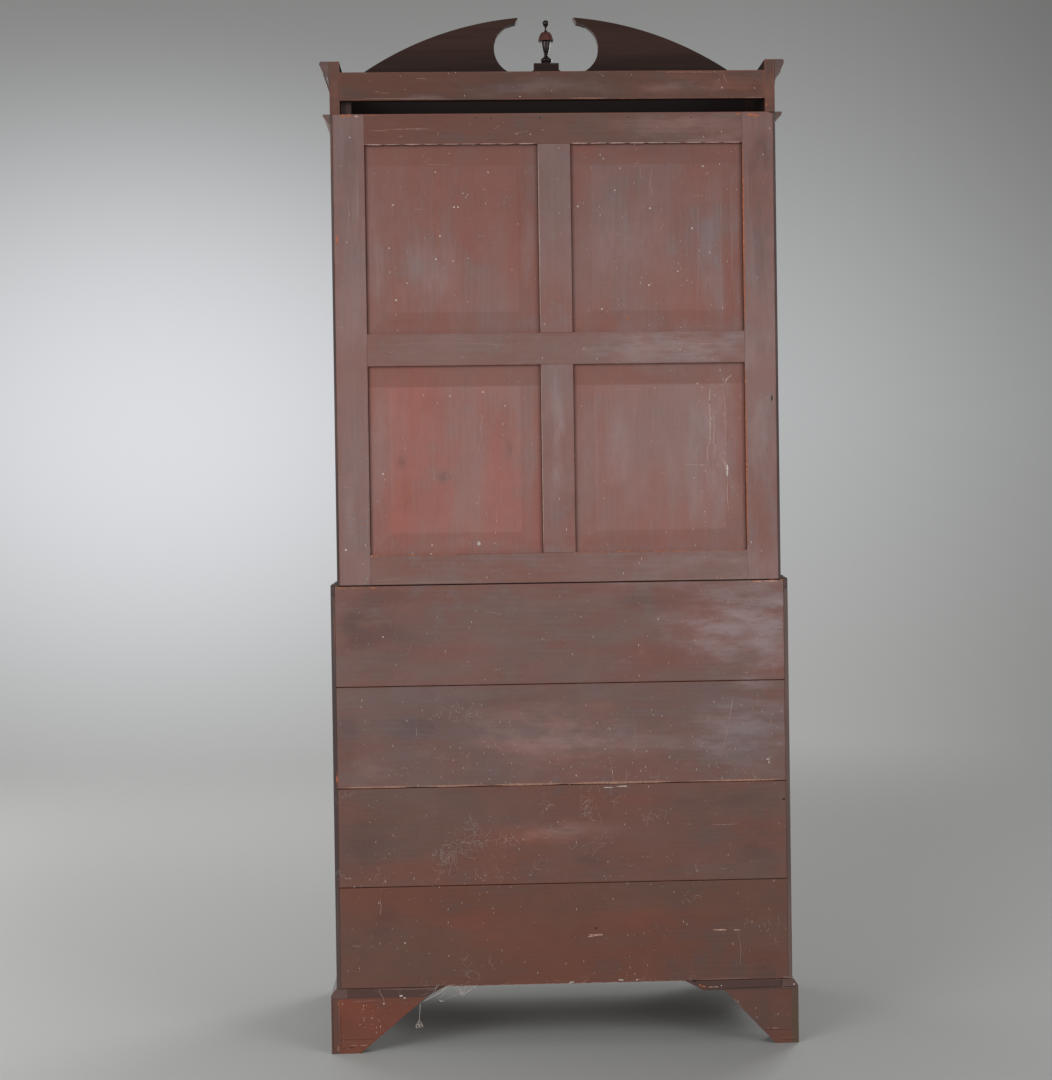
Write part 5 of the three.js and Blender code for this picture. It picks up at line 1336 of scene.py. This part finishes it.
# Corner, opposite corner and number of the fine specks of dust
SPECKLED = [
    (340, 115, 770, 560, 380), (340, 590, 785, 684, 110), (340, 695, 785, 788, 200),
    (350, 742, 784, 785, 150), (340, 795, 785, 882, 130), (345, 872, 700, 888, 60),
    (340, 892, 790, 975, 130), (360, 1004, 384, 1028, 26), (340, 1000, 420, 1052, 20),
    (730, 1000, 796, 1036, 10), (335, 72, 770, 98, 24), (575, 150, 735, 330, 80), (690, 370, 742, 540, 60),
    (345, 540, 740, 580, 60),
]
SPECK_HALF, SPECK_STRETCHES = (0.14, 0.36), (0.9, 1.2, 2.4, 4.0)
SHORT_SCRATCHES = [(340, 120, 770, 575, 70), (340, 595, 785, 970, 90)]


def web_threads():
    lines = []
    for u, v, spread_u, spread_v, count in WEBS:
        for _ in range(count):
            pixels = [(u + CHANCE.gauss(0, spread_u / 2), v + CHANCE.gauss(0, spread_v / 2))]
            heading = CHANCE.uniform(0, 2 * math.pi)
            for _ in range(CHANCE.randint(*WEB_STEPS)):
                heading += CHANCE.gauss(0, WEB_TURN)
                length = CHANCE.uniform(*WEB_STEP)
                last = pixels[-1]
                pixels.append((last[0] + length * math.cos(heading), last[1] + length * math.sin(heading)))
            lines.append((CHANCE.uniform(*WEB_HALF) * MM, pixels))
    return strips(lines, HAIR_WANDER, HAIR_HEIGHT)


def speck_shells():
    marks = []
    for u0, v0, u1, v1, count in SPECKLED:
        for _ in range(count):
            size = CHANCE.uniform(*SPECK_HALF)
            place = (CHANCE.uniform(u0, u1), CHANCE.uniform(v0, v1))
            marks.append((*place, size, size * CHANCE.choice(SPECK_STRETCHES)))
    return flecks(marks, SPECK_HEIGHT)


def scratch_shells():
    lines = []
    for u0, v0, u1, v1, count in SHORT_SCRATCHES:
        for _ in range(count):
            u, v = CHANCE.uniform(u0, u1), CHANCE.uniform(v0, v1)
            length, turn = CHANCE.uniform(*SCRATCH_LENGTH), CHANCE.uniform(0, 2 * math.pi)
            end = (u + length * math.cos(turn), v + length * math.sin(turn))
            lines.append((CHANCE.uniform(*SCRATCH_HALF) * MM, [(u, v), end]))
    return strips(lines, HAIR_WANDER, HAIR_HEIGHT)


def pixel_pairs(numbers):
    return list(zip(numbers[::2], numbers[1::2]))


# Wander in pixels, then height in mm
PALE_LAY, RAW_LAY, DARK_LAY, BURNT_LAY = (0.25, 0.2), (0.2, 0.25), (0.1, 0.1), (0.2, 0.3)


def drawn(table, wander, height):
    """Strands for a table of lines."""
    return strips([(row[0] * MM, pixel_pairs(row[1:])) for row in table], wander, height * MM)


def add_marks():
    def lay(name, slot, material, shells):
        add_piece(name, "carcase", slot, material, shells)

    lines = drawn(PALE_LINES, *PALE_LAY)
    lay("pale_scratches", "back_frame_pine", PALE_RUB_AND_HIGHLIGHT, lines + scratch_shells())
    lay("dust_specks", "back_board_pine", DUST, flecks(DUST_FLECKS) + speck_shells())
    lay("raw_edges", "back_frame_pine", RAW_WOOD, drawn(RAW_LINES, *RAW_LAY) + flecks(RAW_FLECKS))
    lay("pale_chips", "back_frame_pine", PALE_WOOD, flecks(PALE_CHIPS))
    lay("nail_heads", "carcase_wood", NAIL_DARK, flecks(DARK_FLECKS))
    lay("dark_seams", "carcase_wood", SHADOW_DARK, drawn(DARK_LINES, *DARK_LAY))
    lay("orange_edges", "back_board_pine", BURNT_EDGE, drawn(BURNT_LINES, *BURNT_LAY))
    lay("cobwebs", "back_board_pine", COBWEB, web_threads())


# Thin lines along the panels' edges, the waist and the board seams, among them a painted highlight along the
# upper panels' tops and a painted shadow in the waist gap. Wobbles are in mm.
LONGEST_CUT_SHARE, BIT_SIZES, LEVEL_POINTS, LEVEL_WOBBLE = 0.12, (0.6, 1.1), 7, 0.25
UPRIGHT_POINTS, UPRIGHT_WOBBLE = 24, 0.2


def level_line(x0, x1, z, y, half_width, height, bits=9):
    """Broken bits of a strip along X at one height."""
    shells = []
    edges = [x0 + (x1 - x0) * bit / bits for bit in range(bits + 1)]
    for start, end in zip(edges, edges[1:]):
        cut = CHANCE.uniform(0.0, LONGEST_CUT_SHARE) * (end - start)
        points = []
        for step in range(LEVEL_POINTS):
            x = start + cut + (end - cut - start) * step / (LEVEL_POINTS - 1)
            points.append(Vector((x, y, z + CHANCE.uniform(-LEVEL_WOBBLE, LEVEL_WOBBLE) * MM)))
        shells.append(strand(points, half_width * CHANCE.uniform(*BIT_SIZES), height))
    return shells


def upright_line(x, z0, z1, y, half_width, height):
    points = []
    for step in range(UPRIGHT_POINTS):
        z = z0 + (z1 - z0) * step / (UPRIGHT_POINTS - 1)
        points.append(Vector((x + CHANCE.uniform(-UPRIGHT_WOBBLE, UPRIGHT_WOBBLE) * MM, y, z)))
    return [strand(points, half_width, height)]


LINE_HEIGHT, SEAM_HEIGHT = 0.15 * MM, 0.2 * MM
TOP_HALF, TOP_RISE, TOP_SHORT = 1.7 * MM, 0.4 * MM, 1 * MM
RAW_HALF, PALE_HALF, UPRIGHT_BESIDE, UPRIGHT_SHORT = 2 * MM, 1.2 * MM, 1.1 * MM, 4 * MM
BOTTOM_HALF, BOTTOM_DROP = 1.3 * MM, 0.8 * MM
SEAM_RISE, TAN_HALF, TAN_BITS, PALE_SEAM_HALF, PALE_SEAM_BITS = 2.2 * MM, 3.2 * MM, 3, 4 * MM, 2
LOWER_EDGE_RISE, LOWER_EDGE_HALF, LOWER_EDGE_BITS = 0.8 * MM, 0.8 * MM, 15
WAIST_GAP_LOW, WAIST_GAP_HIGH = (-0.49, -0.5 * MM, -1.6 * MM), (0.49, 0.15 * MM, 1.4 * MM)


def span_between(pixels, row):
    """The X of two places of one row of the photograph."""
    return [on_back_plane((u, row)).x for u in pixels]


def add_edge_lines():
    pale, raw = [], []
    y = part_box("back_rail_top")[1].y
    for node in PANELS:
        low, high = panel_opening(node)
        if "upper" in node:
            # A painted highlight: a pale line along the panel's top, where the rail's lower arris catches the
            # light
            ends = (low.x + TOP_SHORT, high.x - TOP_SHORT)
            pale += level_line(*ends, high.z + TOP_RISE, y, TOP_HALF, LINE_HEIGHT)
        made, half_width = (raw, RAW_HALF) if high.x < 0 else (pale, PALE_HALF)
        ends = (low.z + UPRIGHT_SHORT, high.z - UPRIGHT_SHORT)
        made += upright_line(low.x - UPRIGHT_BESIDE, *ends, y, half_width, LINE_HEIGHT)
        if "lower" in node:
            start = low.x if high.x < 0 else (low.x + high.x) / 2
            raw += level_line(start, high.x, low.z - BOTTOM_DROP, y, BOTTOM_HALF, LINE_HEIGHT)
    seam_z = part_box("bureau_back_board_2")[0].z + SEAM_RISE
    tan_x, pale_x = (span_between(pixels, SEAM_ROW) for pixels in (TAN_SEAM_PIXELS, PALE_SEAM_PIXELS))
    tan = level_line(*tan_x, seam_z, BACK_Y, TAN_HALF, SEAM_HEIGHT, TAN_BITS)
    tan += level_line(*pale_x, seam_z, BACK_Y, PALE_SEAM_HALF, SEAM_HEIGHT, PALE_SEAM_BITS)
    lower_x, lower_z = span_between(LOWER_EDGE_PIXELS, LOWER_EDGE_ROW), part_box("bureau_back_board_4")[0].z
    pale += level_line(
        *lower_x, lower_z + LOWER_EDGE_RISE, BACK_Y, LOWER_EDGE_HALF, SEAM_HEIGHT, LOWER_EDGE_BITS,
    )
    add_piece("tan_seam", "carcase", "back_board_pine", TAN_EDGE, tan)
    add_piece("pale_edge_lines", "carcase", "back_frame_pine", PALE_RUB_AND_HIGHLIGHT, pale)
    add_piece("raw_edge_lines", "carcase", "back_frame_pine", RAW_WOOD, raw)
    waist = (0, BACK_Y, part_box("bureau_back_board_1")[1].z)
    gap = block(*([a + b for a, b in zip(waist, corner)] for corner in (WAIST_GAP_LOW, WAIST_GAP_HIGH)))
    add_piece("waist_gap", "carcase", "carcase_wood", SHADOW_DARK, [gap], smooth=False)


GLUE_BLOCK_X, GLUE_BLOCK_Y, GLUE_BLOCK_HEIGHT = (0.448, 0.4705), (0.235, 0.276), 0.045
GLUE_BLOCK_EDGE = 1 * MM


def add_glue_block():
    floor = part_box("bookcase_top")[1].z
    low = (GLUE_BLOCK_X[0], GLUE_BLOCK_Y[0], floor - TINY)
    high = (GLUE_BLOCK_X[1], GLUE_BLOCK_Y[1], floor + GLUE_BLOCK_HEIGHT)
    add_piece(
        "glue_block", "carcase", "carcase_wood", GLUE_BLOCK_WOOD, [block(low, high)], smooth=False,
        edge=GLUE_BLOCK_EDGE,
    )


# Half width in mm, then the pixels along the thread as one row of numbers
THREADS = [
    (0.6, 420.4, 1003, 419.8, 1013, 419.2, 1022), (0.9, 457, 985.6, 462.8, 995.6, 470, 990, 478, 984.6),
    (0.5, 452, 986, 456, 990, 462.8, 996), (0.8, 460, 985.6, 463, 995), (0.7, 466, 985, 463, 995.6),
    (0.7, 424, 1001.6, 434, 996, 441, 992, 448, 986, 456, 984), (0.5, 436, 992, 447, 986),
    (0.5, 422, 1003, 430, 997, 436, 988, 440, 984), (0.9, 438.8, 1000.2, 441.4, 1001.4, 444.4, 1000.6),
    (0.3, 438.8, 1000.2, 444, 994, 449, 984.6), (0.4, 437, 984, 435.6, 990, 434.4, 994),
    (0.25, 444.4, 1000.6, 456, 995, 470, 984.6), (0.8, 419.3, 1020, 416, 1025, 416.4, 1028, 419, 1027),
    (0.8, 419.3, 1020, 422, 1024, 422.6, 1027.6), (0.9, 419.3, 1021, 418.6, 1025, 421, 1028, 419, 1026),
    (0.7, 416, 1026, 419, 1023.6, 422, 1026),
]
THREAD_STEPS = 5
THREAD_DEPTH, THREAD_HEIGHT = 0.2, 0.3 * MM


def add_hanging_threads():
    """Cobweb threads that hang from the back's bottom edge and the foot, with a tuft at one end."""
    shells = []
    for width, *numbers in THREADS:
        pixels = pixel_pairs(numbers)
        points = []
        for start, end in zip(pixels, pixels[1:]):
            for step in range(THREAD_STEPS):
                share = step / THREAD_STEPS
                points.append(on_back_plane([a + (b - a) * share for a, b in zip(start, end)]))
        points.append(on_back_plane(pixels[-1]))
        line = [point - BACK_NORMAL * THREAD_DEPTH * MM for point in points]
        shells.append(strand(line, width * MM, THREAD_HEIGHT))
    add_piece("hanging_threads", "carcase", "back_board_pine", DUST, shells)


# The foot on the photograph's right. Below its glue strip it is cut back further than its twin.
SHORT_FOOT = "foot_rear_left"
SHORT_FOOT_EDGE_PIXELS = ((722.4, 988.2), (775.8, 1042.8))
STRIP_BOTTOM = 122 * MM


def cut_away(made, place, normal):
    """Takes what lies beyond a plane off a closed mesh, and closes it again."""
    geometry = made.verts[:] + made.edges[:] + made.faces[:]
    found = bmesh.ops.bisect_plane(made, geom=geometry, plane_co=place, plane_no=normal, clear_outer=True)
    edges = [item for item in found["geom_cut"] if isinstance(item, bmesh.types.BMEdge)]
    bmesh.ops.triangle_fill(made, use_beauty=True, edges=edges)


def foot_shell(*planes):
    """The foot's solid, without what lies beyond the planes."""
    made = bmesh.new()
    made.from_mesh(NODES[SHORT_FOOT].data)
    bmesh.ops.remove_doubles(made, verts=made.verts, dist=WELD_REACH)
    for place, normal in planes:
        cut_away(made, place, normal)
    made.verts.index_update()
    points = [vertex.co.copy() for vertex in made.verts]
    faces = [[vertex.index for vertex in face.verts] for face in made.faces]
    made.free()
    return points, faces


def add_short_foot():
    top, toe = (on_back_plane(pixel) for pixel in SHORT_FOOT_EDGE_PIXELS)
    inwards = Vector((top.z - toe.z, 0, toe.x - top.x))
    level = Vector((0, 0, STRIP_BOTTOM))
    shells = [foot_shell((level, UP), (top, inwards)), foot_shell((level, -UP))]
    wood = NODES[SHORT_FOOT].data.materials[0]
    piece = add_piece(
        "narrow_rear_foot", "carcase", "carcase_wood", wood, shells, smooth=False, edge=EDGE_WIDTH,
    )
    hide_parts(SHORT_FOOT)


bpy.context.scene.view_settings.view_transform = "Standard"
add_camera()
add_world()
add_floor()
add_lamps()
paint_back()
paint_rest()
soften_edges()
add_finial()
add_knobs()
add_escutcheons()
add_hinges()
add_leather()
add_edge_lines()
add_glue_block()
add_marks()
add_hanging_threads()
add_short_foot()
